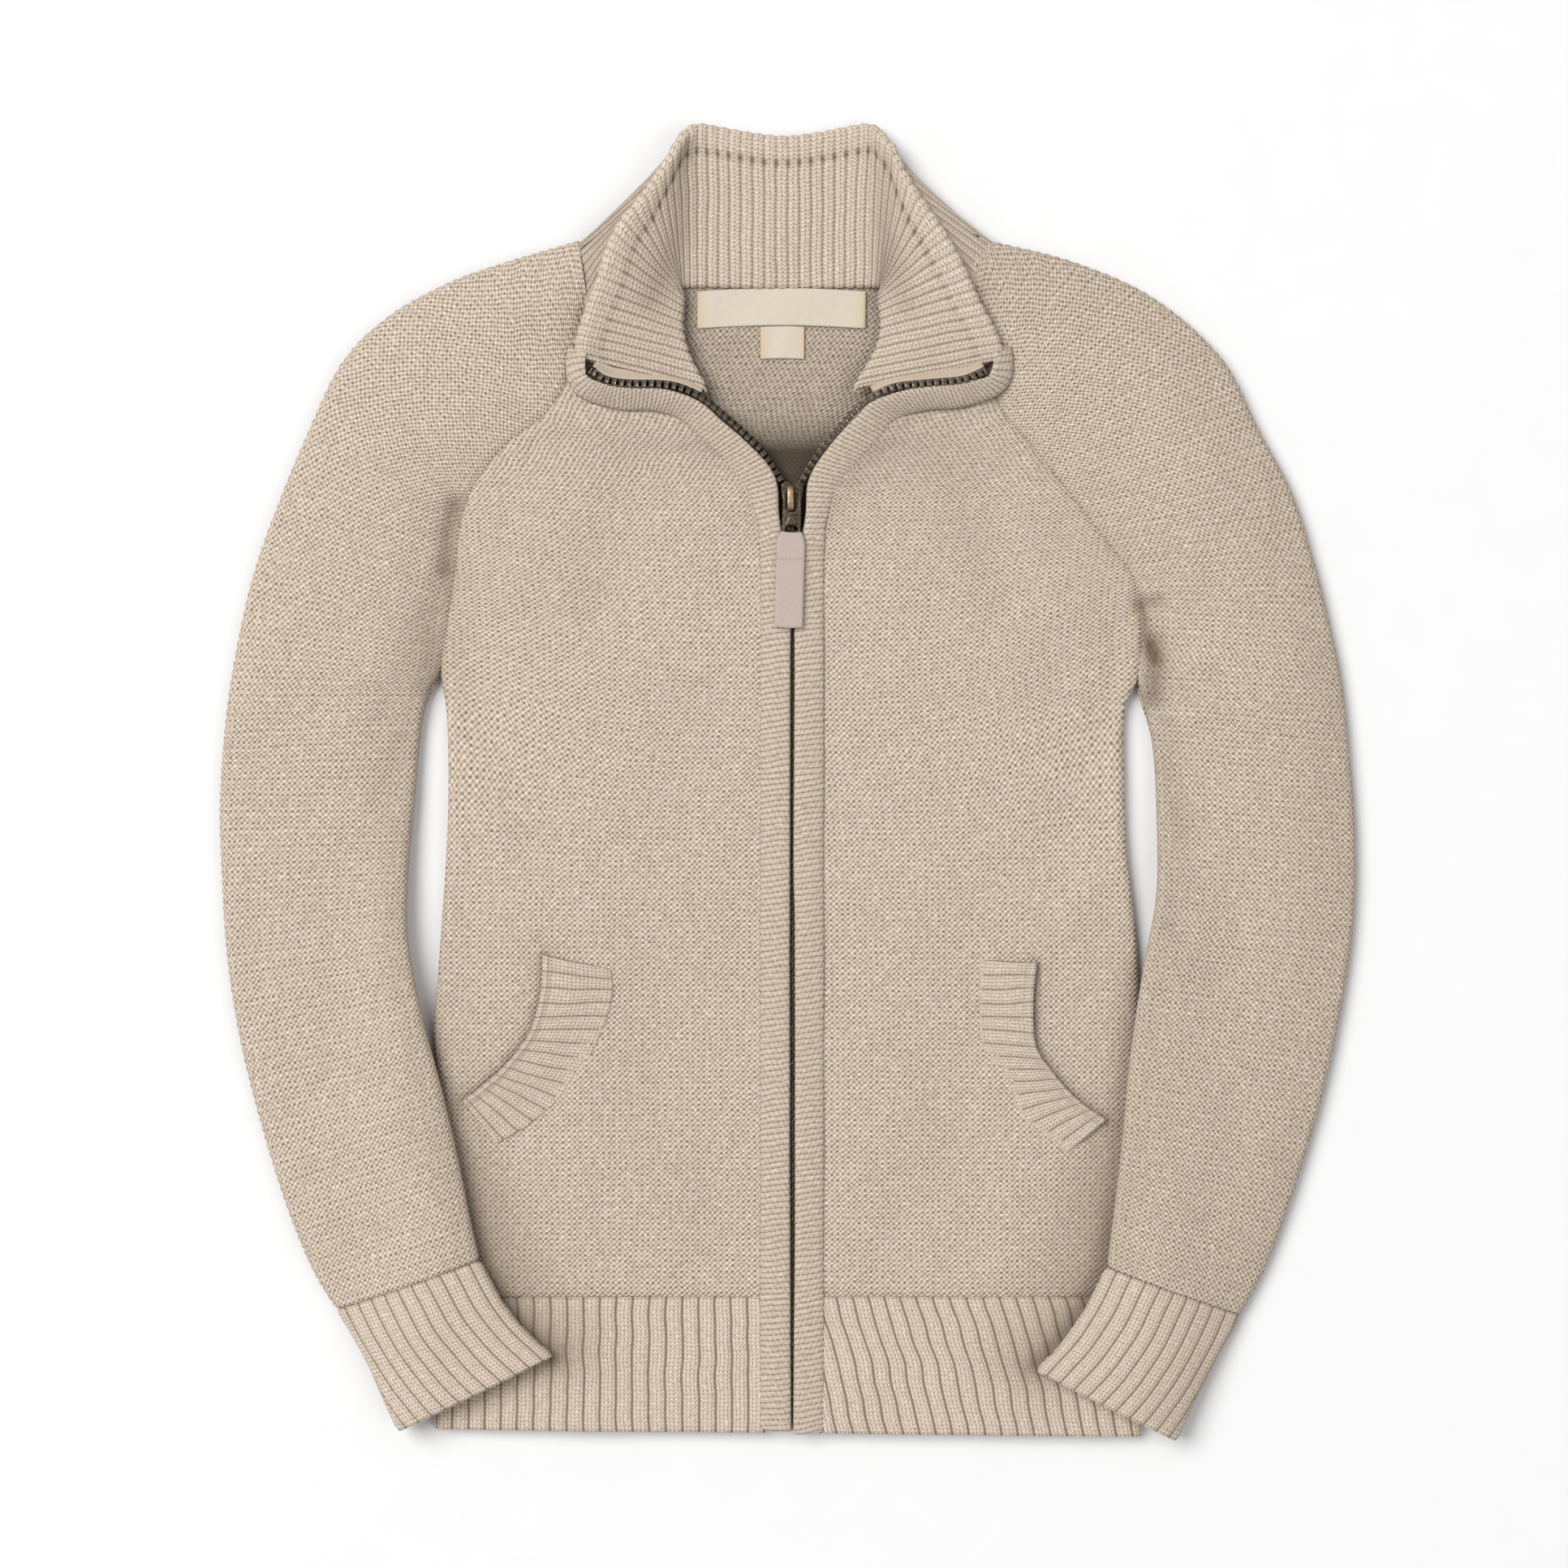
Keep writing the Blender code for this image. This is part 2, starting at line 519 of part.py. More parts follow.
def build_hem():
    """The hem rib, one strip from zip to zip round both sides."""
    grid = []
    for amount in (0.0, 0.5, 1.0):
        y_left = mix(HEM_LEFT_Y, HEM_SEAM_Y - SEAM_GAP / 2, amount)
        y_right = mix(HEM_RIGHT_Y, HEM_SEAM_Y - SEAM_GAP / 2, amount)
        left = read_at(SIDE_LEFT, y_left)
        right = read_at(SIDE_RIGHT, y_right)
        spots = [(mix(FRONT_EDGE_LEFT, left + MID, step), None) for step in FLAT_STEPS]
        for angle in (60, 30, 0, -30, -60):
            turn = math.radians(angle)
            spots.append((left + MID - MID * math.cos(turn), MID + MID * math.sin(turn)))
        spots += [(mix(left + MID, right - MID, step), 0.0) for step in BACK_STEPS]
        for angle in (-60, -30, 0, 30, 60):
            turn = math.radians(angle)
            spots.append((right - MID + MID * math.cos(turn), MID + MID * math.sin(turn)))
        spots += [(mix(right - MID, FRONT_EDGE_RIGHT, step), None) for step in FLAT_STEPS]
        section = []
        for x, z in spots:
            y = mix(y_left, y_right, (x - left) / (right - left))
            section.append((x, y, front_top(x, y) if z is None else z))
        grid.append(section)
    cloth("hem", grid, KNIT_WALL, material("rib"), flip=True)


def build_sleeves():
    for name, side, raglan, sleeve, cuff in (
            ("left", -1, RAGLAN_LEFT, SLEEVE_LEFT, CUFF_LEFT),
            ("right", 1, RAGLAN_RIGHT, SLEEVE_RIGHT, CUFF_RIGHT)):
        grid = []
        for i, row in reversed(list(enumerate(raglan))):
            fold = (row.fold_x, row.fold_y)
            seam = towards((row.seam_x, row.seam_y), fold, SEAM_GAP / 2)
            grid.append(sleeve_section(seam, fold, 0.5 if i == 0 else 0.0, 0, side))
        for row in sleeve:
            grid.append(sleeve_section((row.seam_x, row.seam_y), (row.fold_x, row.fold_y),
                                       1, row.lap, side))
        cloth("sleeve_" + name, grid, KNIT_WALL, material("knit"), flip=side > 0)
        grid = []
        for i, row in enumerate(cuff):
            following = cuff[min(i + 1, len(cuff) - 1)]
            gap = CUFF_GAP if i == 0 else 0.0
            seam = towards((row.seam_x, row.seam_y), (following.seam_x, following.seam_y), gap)
            fold = towards((row.fold_x, row.fold_y), (following.fold_x, following.fold_y), gap)
            grid.append(sleeve_section(seam, fold, 1, row.lap, side))
        cloth("cuff_" + name, grid, KNIT_WALL, material("rib"), flip=side > 0)


def build_collar():
    radius = RIB_WALL + LAYER_GAP / 2
    rows = COLLAR
    grid = []
    for i, row in enumerate(rows):
        ahead = rows[min(i + 1, len(rows) - 1)]
        behind = rows[max(i - 1, 0)]
        along = Vector((ahead.top_x - behind.top_x, ahead.top_y - behind.top_y))
        outward = Vector((-along.y, along.x)).normalized()
        centre = Vector((row.top_x, row.top_y)) - outward * radius
        turn = math.radians(row.sweep)

        def rim(angle):
            reach = radius * math.sin(angle)
            return Vector((centre.x + outward.x * reach, centre.y + outward.y * reach,
                           row.top_z + radius * math.cos(angle)))

        base = Vector((row.base_x, row.base_y, row.base_z))
        neck = Vector((row.neck_x, row.neck_y, row.neck_z))
        section = [base]
        lower = rim(turn)
        section += [base.lerp(lower, t) for t in (0.33, 0.67)]
        section += [rim(turn * t) for t in (1, 0.75, 0.5, 0.25, 0)]
        upper = rim(0)
        section += [upper.lerp(neck, t) for t in (0.25, 0.5, 0.75)] + [neck]
        grid.append([tuple(point) for point in section])
    cloth("collar", grid, RIB_WALL, material("rib"))


def build_bands():
    across_steps = (0.0, 0.15, 0.4, 0.65, 0.88, 1.0)
    for name, side, table in (("left", -1, BAND_LEFT), ("right", 1, BAND_RIGHT)):
        grid = []
        for row in smooth_rows(table, 2):
            teeth = Vector(row[:3])
            panel = Vector(row[3:])
            section = []
            for step in across_steps:
                spot = panel.lerp(teeth, step)
                spot.z += 0.8 * math.sin(math.pi * step)
                section.append(tuple(spot))
            grid.append(section)
        cloth("band_" + name, grid, BAND_WALL, material("rib"), flip=side > 0)


def build_pocket_trims():
    for name, side, table in (("left", -1, TRIM_LEFT), ("right", 1, TRIM_RIGHT)):
        grid = []
        for row in smooth_rows(table, 2):
            section = []
            for step in (0.0, 0.33, 0.67, 1.0):
                x = mix(row[0], row[2], step)
                y = mix(row[1], row[3], step)
                section.append((x, y, front_top(x, y) + LAYER_GAP + TRIM_WALL))
            grid.append(section)
        cloth("pocket_trim_" + name, grid, TRIM_WALL, material("rib"), flip=side < 0)


def build_zip():
    top_y = SLIDER_Y - SLIDER_LENGTH / 2 - LAYER_GAP
    for name, side, table in (("left", -1, ZIP_LEFT), ("right", 1, ZIP_RIGHT)):
        open_path = [tuple(row) for row in smooth_rows(table, 2)]
        strip("zip_teeth_" + name, open_path, TEETH_WIDTH, TEETH_HEIGHT,
              material("brass", 0.8, 0.45))
        centre = ZIP_X + side * (TEETH_WIDTH / 4 + LAYER_GAP)
        strip("zip_teeth_closed_" + name,
              [(centre, ZIP_END_Y, TEETH_Z), (centre, top_y, TEETH_Z)], TEETH_WIDTH / 2,
              TEETH_HEIGHT, material("brass", 0.8, 0.45))
        tape_centre = ZIP_X + side * (TEETH_WIDTH / 2 + 2 * LAYER_GAP + TAPE_WIDTH / 2)
        strip("zip_tape_" + name,
              [(tape_centre, ZIP_END_Y, TEETH_Z), (tape_centre, TAPE_TOP_Y, TEETH_Z)],
              TAPE_WIDTH, TAPE_WALL, material("zip_tape"))
        upper = [(x, y, z + COLLAR_TAPE_LIFT) for x, y, z in open_path[9:-1]]
        strip("zip_tape_collar_" + name, upper, COLLAR_TAPE_WIDTH, TAPE_WALL,
              material("zip_tape"),
              shift=side * (TEETH_WIDTH / 2 + LAYER_GAP + COLLAR_TAPE_WIDTH / 2))


def join_shapes(name, bm_parts, finish):
    """One solid from several closed shapes, joined by exact unions."""
    made = []
    for k, bm in enumerate(bm_parts):
        mesh = bpy.data.meshes.new(name if k == 0 else name + "_tool")
        bm.to_mesh(mesh)
        bm.free()
        made.append(add_object(mesh.name, mesh, finish))
    body = made[0]
    for tool in made[1:]:
        union = body.modifiers.new("Join", "BOOLEAN")
        union.operation = "UNION"
        union.solver = "EXACT"
        union.object = tool
        tool.hide_render = True
        tool.display_type = "WIRE"
    return body


def prism(outline, low, high, axis="Z"):
    """A closed prism over an outline of (a, b) points, between two heights on an axis."""
    bm = bmesh.new()
    ring = []
    for a, b in outline:
        point = (a, b, low) if axis == "Z" else (low, a, b)
        ring.append(bm.verts.new(Vector(point) * MM))
    face = bm.faces.new(ring)
    step = (0, 0, (high - low) * MM) if axis == "Z" else ((high - low) * MM, 0, 0)
    moved = bmesh.ops.extrude_face_region(bm, geom=[face])
    bmesh.ops.translate(bm, vec=step, verts=[v for v in moved["geom"]
                                             if isinstance(v, bmesh.types.BMVert)])
    bmesh.ops.recalc_face_normals(bm, faces=bm.faces)
    return bm


def build_slider():
    front = SLIDER_Y + SLIDER_LENGTH / 2
    tail = SLIDER_Y - SLIDER_LENGTH / 2
    wide = SLIDER_TOP_WIDTH / 2
    slim = SLIDER_TAIL_WIDTH / 2
    outline = [(ZIP_X - slim, tail), (ZIP_X + slim, tail), (ZIP_X + wide, SLIDER_Y + 1.5),
               (ZIP_X + wide, front - 1.2), (ZIP_X + wide - 1.4, front), (ZIP_X - wide + 1.4, front),
               (ZIP_X - wide, front - 1.2), (ZIP_X - wide, SLIDER_Y + 1.5)]
    foot = prism(outline, SLIDER_FOOT_Z, SLIDER_FOOT_Z + SLIDER_PLATE - 0.2)
    plate = prism(outline, SLIDER_PLATE_Z, SLIDER_PLATE_Z + SLIDER_PLATE)
    post = prism([(ZIP_X - 0.9, SLIDER_Y + 2.0), (ZIP_X, SLIDER_Y - 0.5), (ZIP_X + 0.9, SLIDER_Y + 2.0),
                  (ZIP_X + 1.6, front - 0.4), (ZIP_X - 1.6, front - 0.4)],
                 SLIDER_FOOT_Z + 0.4, SLIDER_PLATE_Z + 0.4)
    rear = SLIDER_Y + 0.7 - BRIDGE_LENGTH / 2 - 0.6
    nose = rear + BRIDGE_LENGTH
    base = SLIDER_PLATE_Z + SLIDER_PLATE - 0.3
    arch = [(rear, base), (rear, BRIDGE_TOP_Z - 1.0), (rear + 1.0, BRIDGE_TOP_Z),
            (nose - 1.0, BRIDGE_TOP_Z), (nose, BRIDGE_TOP_Z - 1.0), (nose, base),
            (nose - BRIDGE_BAR, base), (nose - BRIDGE_BAR, BRIDGE_TOP_Z - BRIDGE_BAR),
            (rear + BRIDGE_BAR, BRIDGE_TOP_Z - BRIDGE_BAR), (rear + BRIDGE_BAR, base)]
    bridge = prism(arch, ZIP_X - BRIDGE_WIDTH / 2, ZIP_X + BRIDGE_WIDTH / 2, axis="X")
    join_shapes("zip_slider", [plate, foot, post, bridge], material("brass", 0.8, 0.45))


def place_on_hinge(item, hinge):
    item.parent = hinge
    item.matrix_parent_inverse = Matrix.Identity(4)


def build_puller():
    """The metal link and its fabric tab, drawn about the hinge line, which is their origin."""
    hinge = bpy.data.objects.new("pull_hinge", None)
    hinge.location = Vector((ZIP_X, HINGE_Y, HINGE_Z)) * MM
    bpy.context.collection.objects.link(hinge)
    half = LINK_WIDTH / 2
    slot = LINK_SLOT_WIDTH / 2
    slope = math.atan2(LINK_DROP, LINK_LENGTH)
    outer = [(-half, -LINK_LENGTH), (half, -LINK_LENGTH), (half, 0.7), (half - 0.8, 1.1),
             (slot, 1.1), (slot, -LINK_SLOT_LENGTH), (-slot, -LINK_SLOT_LENGTH), (-slot, 1.1),
             (-half + 0.8, 1.1), (-half, 0.7)]
    frame = prism(outer, -LINK_THICK / 2, LINK_THICK / 2)
    pin = bmesh.new()
    bmesh.ops.create_cone(pin, cap_ends=True, segments=10, radius1=PIN_RADIUS * MM,
                          radius2=PIN_RADIUS * MM, depth=(LINK_WIDTH - 1.0) * MM,
                          matrix=Matrix.Rotation(math.pi / 2, 4, "Y"))
    link = join_shapes("zip_pull_link", [frame, pin], material("brass", 0.8, 0.45))
    eye_mesh = bpy.data.meshes.new("eye_tool")
    eye = prism([(-2.4, -LINK_LENGTH + 1.2), (2.4, -LINK_LENGTH + 1.2), (2.4, -LINK_LENGTH + 3.0),
                 (-2.4, -LINK_LENGTH + 3.0)], -LINK_THICK, LINK_THICK)
    eye.to_mesh(eye_mesh)
    eye.free()
    cutter = add_object("eye_tool", eye_mesh, material("brass", 0.8, 0.45))
    cutter.hide_render = True
    cutter.display_type = "WIRE"
    cut = link.modifiers.new("Eye", "BOOLEAN")
    cut.operation = "DIFFERENCE"
    cut.solver = "EXACT"
    cut.object = cutter
    tools = [cutter] + [m.object for m in link.modifiers if m.object and m.object != cutter]
    for item in [link] + tools:
        place_on_hinge(item, hinge)
        item.rotation_euler = (-slope, 0, 0)

    eye_y = -LINK_LENGTH + 2.1
    neck = PULL_TAPE_NECK / 2 - 1.0
    wide = PULL_TAPE_WIDTH / 2
    end = -LINK_LENGTH - PULL_TAPE_LENGTH
    start = -LINK_LENGTH - 0.8
    tape_rise = math.sin(slope) * LINK_LENGTH
    outline = [(-wide, end), (wide, end), (wide, start - 6.0), (neck + 0.9, start), (-neck - 0.9, start),
               (-wide, start - 6.0)]
    tape = prism(outline, tape_rise - 0.2, tape_rise - 0.2 + PULL_TAPE_THICK)
    loop_profile = [(start, -1.35), (eye_y + 0.4, -1.35), (eye_y + 0.5, 1.35), (start, 1.35),
                    (start, 0.95), (eye_y - 0.3, 0.95), (eye_y - 0.3, -0.95), (start, -0.95)]
    loop = prism([(y, z + tape_rise) for y, z in loop_profile], -neck, neck, axis="X")
    foot = prism([(-neck, start - 0.6), (neck, start - 0.6), (neck, start + 0.3), (-neck, start + 0.3)],
                 tape_rise - 1.2, tape_rise + 1.3)
    tab = join_shapes("pull_tape", [tape, foot, loop], material("twill"))
    for item in [tab] + [m.object for m in tab.modifiers]:
        place_on_hinge(item, hinge)


def build_labels():
    for name, x, top_y, width, height, bow in (
            ("neck_label", LABEL_X, LABEL_TOP_Y, LABEL_WIDTH, LABEL_HEIGHT, 1.2),
            ("size_tag", TAG_X, TAG_TOP_Y, TAG_WIDTH, TAG_HEIGHT, 0.3)):
        grid = []
        for t in (0.0, 0.5, 1.0):
            row = []
            for s in (-1, -0.5, 0, 0.5, 1):
                sag = bow * (1 - s * s) - bow
                row.append((x + s * width / 2, top_y - t * height + sag,
                            BACK_TOP + LAYER_GAP + LABEL_WALL))
            grid.append(row)
        cloth(name, grid, LABEL_WALL, material("label"), flip=True)


clear_scene()
build_back()
build_fronts()
build_hem()
build_sleeves()
build_collar()
build_bands()
build_pocket_trims()
build_zip()
build_slider()
build_puller()
build_labels()
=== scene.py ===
import math

import bmesh
import bpy
import numpy as np
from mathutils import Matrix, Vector


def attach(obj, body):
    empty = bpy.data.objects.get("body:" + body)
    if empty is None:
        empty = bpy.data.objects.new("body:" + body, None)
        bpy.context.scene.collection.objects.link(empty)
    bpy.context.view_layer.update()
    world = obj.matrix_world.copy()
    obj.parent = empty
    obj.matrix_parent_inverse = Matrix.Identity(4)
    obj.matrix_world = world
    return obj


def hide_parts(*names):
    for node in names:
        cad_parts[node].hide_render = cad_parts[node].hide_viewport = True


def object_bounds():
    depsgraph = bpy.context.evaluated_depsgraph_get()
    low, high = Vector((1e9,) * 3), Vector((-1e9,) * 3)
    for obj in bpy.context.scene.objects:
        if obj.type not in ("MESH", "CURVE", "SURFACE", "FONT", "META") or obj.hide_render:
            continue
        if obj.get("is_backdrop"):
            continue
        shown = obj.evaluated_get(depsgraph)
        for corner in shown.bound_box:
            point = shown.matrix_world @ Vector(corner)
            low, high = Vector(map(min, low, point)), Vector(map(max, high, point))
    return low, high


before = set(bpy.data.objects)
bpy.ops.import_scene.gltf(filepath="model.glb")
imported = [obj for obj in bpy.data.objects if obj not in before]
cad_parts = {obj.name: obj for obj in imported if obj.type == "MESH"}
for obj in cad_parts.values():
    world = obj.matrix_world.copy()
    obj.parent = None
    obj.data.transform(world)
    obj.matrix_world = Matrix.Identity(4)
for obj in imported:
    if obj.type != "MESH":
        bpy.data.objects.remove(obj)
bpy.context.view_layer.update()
bpy.context.scene.view_settings.view_transform = "Standard"
mm = 0.001
garment, pull = "garment", "pull"  # the two bodies: all that lies still, and the zip's pull
sides = ((-1, "left"), (1, "right"))
print("frame loaded")


# Curves through the rows of a table, and surfaces from grids of points. All sizes are millimetres.

def ease(value):
    value = np.clip(value, 0, 1)
    return value * value * (3 - 2 * value)


def near(distance, width):
    # 1 at no distance, falling away to nothing at about twice the width
    return np.exp(-(distance / width) ** 2)


def ramp(value, width):
    # rises straight from 0 to 1 over the width
    return np.clip(value / width, 0, 1)


def unit(vectors):
    return vectors / np.linalg.norm(vectors, axis=1, keepdims=True)


def throughRows(rows, step, along=(0, 1, 2, 3)):
    # rows joined by a smooth curve and read off every step millimetres along it
    rows = np.array(rows, float)
    last = len(rows) - 1
    padded = np.vstack([2 * rows[0] - rows[1], rows, 2 * rows[-1] - rows[-2]])
    t = np.linspace(0, last, last * 24 + 1)
    i = np.minimum(t.astype(int), last - 1)
    f = (t - i)[:, None]
    a, b, c, d = (padded[i + k] for k in range(4))
    fine = 0.5 * (2 * b + (c - a) * f + (2 * a - 5 * b + 4 * c - d) * f * f
                  + (3 * b - a - 3 * c + d) * f ** 3)
    moves = np.linalg.norm(np.diff(fine[:, list(along)], axis=0), axis=1)
    length = np.concatenate([[0], np.cumsum(moves / math.sqrt(len(along) / 2))])
    at = np.linspace(0, length[-1], int(length[-1] / step) + 1)
    return np.stack([np.interp(at, length, column) for column in fine.T], axis=1), at


def pathOver(points):
    # millimetres travelled along every row of a grid
    moves = np.linalg.norm(np.diff(points, axis=1), axis=2)
    return np.hstack([np.zeros((len(points), 1)), np.cumsum(moves, axis=1)])


def gridNormals(points, turned):
    normals = np.cross(np.gradient(points, axis=1), np.gradient(points, axis=0))
    normals /= np.maximum(np.linalg.norm(normals, axis=2, keepdims=True), 1e-9)
    return -normals if turned else normals


def placed(name, data):
    made = bpy.data.objects.new(name, data)
    bpy.context.collection.objects.link(made)
    return made


def meshFromGrid(name, points, texture, finish, turned=False, paintedShadeAndStitches=None, shade=None):
    high, wide = points.shape[:2]
    corner = (np.arange(high - 1)[:, None] * wide + np.arange(wide - 1)).ravel()
    faces = np.stack([corner, corner + 1, corner + wide + 1, corner + wide], axis=1)
    if turned:
        faces = faces[:, ::-1]
    mesh = bpy.data.meshes.new(name)
    mesh.vertices.add(high * wide)
    mesh.vertices.foreach_set("co", (points.reshape(-1, 3) * mm).ravel())
    mesh.loops.add(faces.size)
    mesh.loops.foreach_set("vertex_index", faces.ravel())
    mesh.polygons.add(len(faces))
    mesh.polygons.foreach_set("loop_start", np.arange(len(faces)) * 4)
    mesh.polygons.foreach_set("loop_total", np.full(len(faces), 4))
    mesh.update(calc_edges=True)
    spots = texture.reshape(-1, 2)[faces.ravel()]
    mesh.uv_layers.new(name="knit").data.foreach_set("uv", spots.ravel())
    # painted shade for the knit, and the stitch line's dark thread on the pull tape, carried at
    # every point
    for label, values in (("paintedShadeAndStitches", paintedShadeAndStitches), ("shade", shade)):
        layer = mesh.attributes.new(label, "FLOAT", "POINT")
        values = np.zeros(high * wide) if values is None else values.ravel()
        layer.data.foreach_set("value", values)
    mesh.shade_smooth()
    mesh.materials.append(finish)
    return placed(name, mesh)


def spread(values, shape):
    return None if values is None else np.broadcast_to(values, shape).copy()


def knitPiece(name, points, across, along, finish, turned=False, relief=None, paintedShadeAndStitches=None,
              shade=None, wall=2.8):
    # a surface with its relief raised along the normals, then given its thickness inwards
    shape = points.shape[:2]
    if relief is not None:
        points = points + gridNormals(points, turned) * spread(relief, shape)[..., None]
    texture = np.dstack([spread(across, shape), spread(along, shape)])
    made = meshFromGrid(name, points, texture, finish, turned, spread(paintedShadeAndStitches, shape),
                        spread(shade, shape))
    solidify = made.modifiers.new("Wall", "SOLIDIFY")
    solidify.thickness = wall * mm
    solidify.offset = -1
    cells = np.cross(points[1:, :-1] - points[:-1, :-1], points[:-1, 1:] - points[:-1, :-1])
    print(name, "lies flat over", round(float(np.linalg.norm(cells, axis=2).sum()) / 1e6, 5), "m2")
    return made


def waves(x, y, seed, size, low=28.0, high=95.0):
    # gentle unevenness of laid cloth
    rng = np.random.default_rng(seed)
    total = np.zeros(np.broadcast(x, y).shape)
    for _ in range(9):
        turn = rng.uniform(0, math.pi)
        pace = 2 * math.pi / rng.uniform(low, high)
        total += np.sin(pace * (x * math.cos(turn) + y * math.sin(turn)) + rng.uniform(0, 6.3))
    return total * size / 4


def folds(x, y, table):
    # soft troughs (negative) and ridges (positive) along straight lines, faded at their ends
    total = np.zeros(np.broadcast(x, y).shape)
    for x1, y1, x2, y2, width, height in table:
        dx, dy = x2 - x1, y2 - y1
        length = math.hypot(dx, dy)
        t = ((x - x1) * dx + (y - y1) * dy) / length ** 2
        off = ((x - x1) * dy - (y - y1) * dx) / length
        total += height * near(off, width) * (ease((t + 0.25) / 0.35) * ease((1.25 - t) / 0.35))
    return total


def nearLine(x, y, line, width):
    # 1 on a line through points, falling away beside it
    best = np.full(np.broadcast(x, y).shape, 1e9)
    for (x1, y1), (x2, y2) in zip(line[:-1], line[1:]):
        dx, dy = x2 - x1, y2 - y1
        t = ramp((x - x1) * dx + (y - y1) * dy, dx * dx + dy * dy)
        best = np.minimum(best, np.hypot(x - x1 - t * dx, y - y1 - t * dy))
    return near(best, width)


def ribValley(phase, pitch, width):
    # 1 in the middle of a groove between two ribs, 0 on the ribs
    return near((phase - np.round(phase)) * pitch, width)


def rollEdge(turn, radius, closing, face, middle, gap=0.25):
    # reach and height of an edge that rolls from a face to the seam half way down
    way = np.where(face > middle, 1, -1)
    end = middle + way * gap
    reach = radius * (turn / (math.pi / 2) * (1 - closing) + np.sin(turn) * closing)
    return reach, face + (end + (face - end) * np.cos(turn) - face) * closing


def standFor(piece, body, slot, *nodes):
    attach(piece, body)
    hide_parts(*nodes)


def declareCloth(piece, nodes, slot, body=garment):
    standFor(piece, body, slot, *nodes)


# Nodes for the materials

def node(tree, kind, inputs=None, **settings):
    made = tree.nodes.new(kind)
    for name, value in settings.items():
        setattr(made, name, value)
    for socket, value in (inputs or {}).items():
        if isinstance(value, bpy.types.NodeSocket):
            tree.links.new(value, made.inputs[socket])
        else:
            made.inputs[socket].default_value = value
    return made


def maths(tree, operation, *values, clamp=False):
    return node(tree, "ShaderNodeMath", dict(enumerate(values)), operation=operation,
                use_clamp=clamp).outputs[0]


def times(tree, first, second):
    return maths(tree, "MULTIPLY", first, second)


def vectorMaths(tree, operation, first, second=None, scale=None):
    inputs = {0: first, 1: second, "Scale": scale}
    inputs = {socket: value for socket, value in inputs.items() if value is not None}
    return node(tree, "ShaderNodeVectorMath", inputs, operation=operation).outputs[0]


def noise(tree, place, scale, detail=2.0, roughness=0.5, output="Fac"):
    return node(tree, "ShaderNodeTexNoise", {"Vector": place, "Scale": scale, "Detail": detail,
                                             "Roughness": roughness}).outputs[output]


def remap(tree, value, fromLow, fromHigh, low=0.0, high=1.0, shape="LINEAR"):
    return node(tree, "ShaderNodeMapRange", {"Value": value, "From Min": fromLow,
                                             "From Max": fromHigh, "To Min": low, "To Max": high},
                interpolation_type=shape).outputs[0]


def blendColour(tree, amount, first, second, way="MIX"):
    first, second = ((*colour, 1.0) if isinstance(colour, tuple) else colour
                     for colour in (first, second))
    return node(tree, "ShaderNodeMix", {0: amount, 6: first, 7: second}, data_type="RGBA",
                blend_type=way).outputs[2]


def knitPlace(tree):
    # the place on the cloth in millimetres
    return node(tree, "ShaderNodeUVMap", uv_map="knit").outputs[0]


def acrossAndAlong(tree, place):
    return node(tree, "ShaderNodeSeparateXYZ", {0: place}).outputs[:2]


def painted(tree, name):
    # what the mesh carries at its points under this name
    return node(tree, "ShaderNodeAttribute", attribute_name=name).outputs["Fac"]


def newMaterial(name, roughness=0.92, metallic=0.0, sheen=0.0):
    made = bpy.data.materials.new(name)
    made.use_nodes = True
    shader = made.node_tree.nodes["Principled BSDF"]
    settings = {"Roughness": roughness, "Metallic": metallic, "Sheen Weight": sheen,
                "Sheen Roughness": 0.6, "Sheen Tint": (1.0, 0.93, 0.84, 1.0),
                "Specular IOR Level": 0.25}
    for socket, value in settings.items():
        shader.inputs[socket].default_value = value
    return made, made.node_tree, shader


def setFinish(tree, shader, colour, height, distance, strength=1.0):
    raised = node(tree, "ShaderNodeBump", {"Strength": strength, "Distance": distance,
                                           "Height": height})
    tree.links.new(colour, shader.inputs["Base Color"])
    tree.links.new(raised.outputs[0], shader.inputs["Normal"])


# Materials

yarn = {
    "light": (0.690, 0.590, 0.494),   # the tops of the stitches, painted lighter as if lit
    "ground": (0.470, 0.382, 0.300),
    "gap": (0.190, 0.138, 0.092),     # painted shade between the stitches
    "tan": (0.400, 0.285, 0.165),     # darker fibres spun into the yarn
    "pale": (0.790, 0.715, 0.640),
    "fibreShare": 0.62,
    "marl": (0.84, 1.16),             # slow change of tone along the yarn
    "stitchWide": 2.08,
    "rowHigh": 2.0,
    "stitchHeights": (0.455, 0.22, 0.53, 0.06, 0.10),  # ground, uneven, bars, slant, rows
    "bump": 0.00055,
    "ribBump": 0.0004,
    "unevenness": 0.22,               # how far stitches wander
    "ribUnevenness": 0.12,
    "fuzz": 0.22,
    "sheen": 0.12,
}


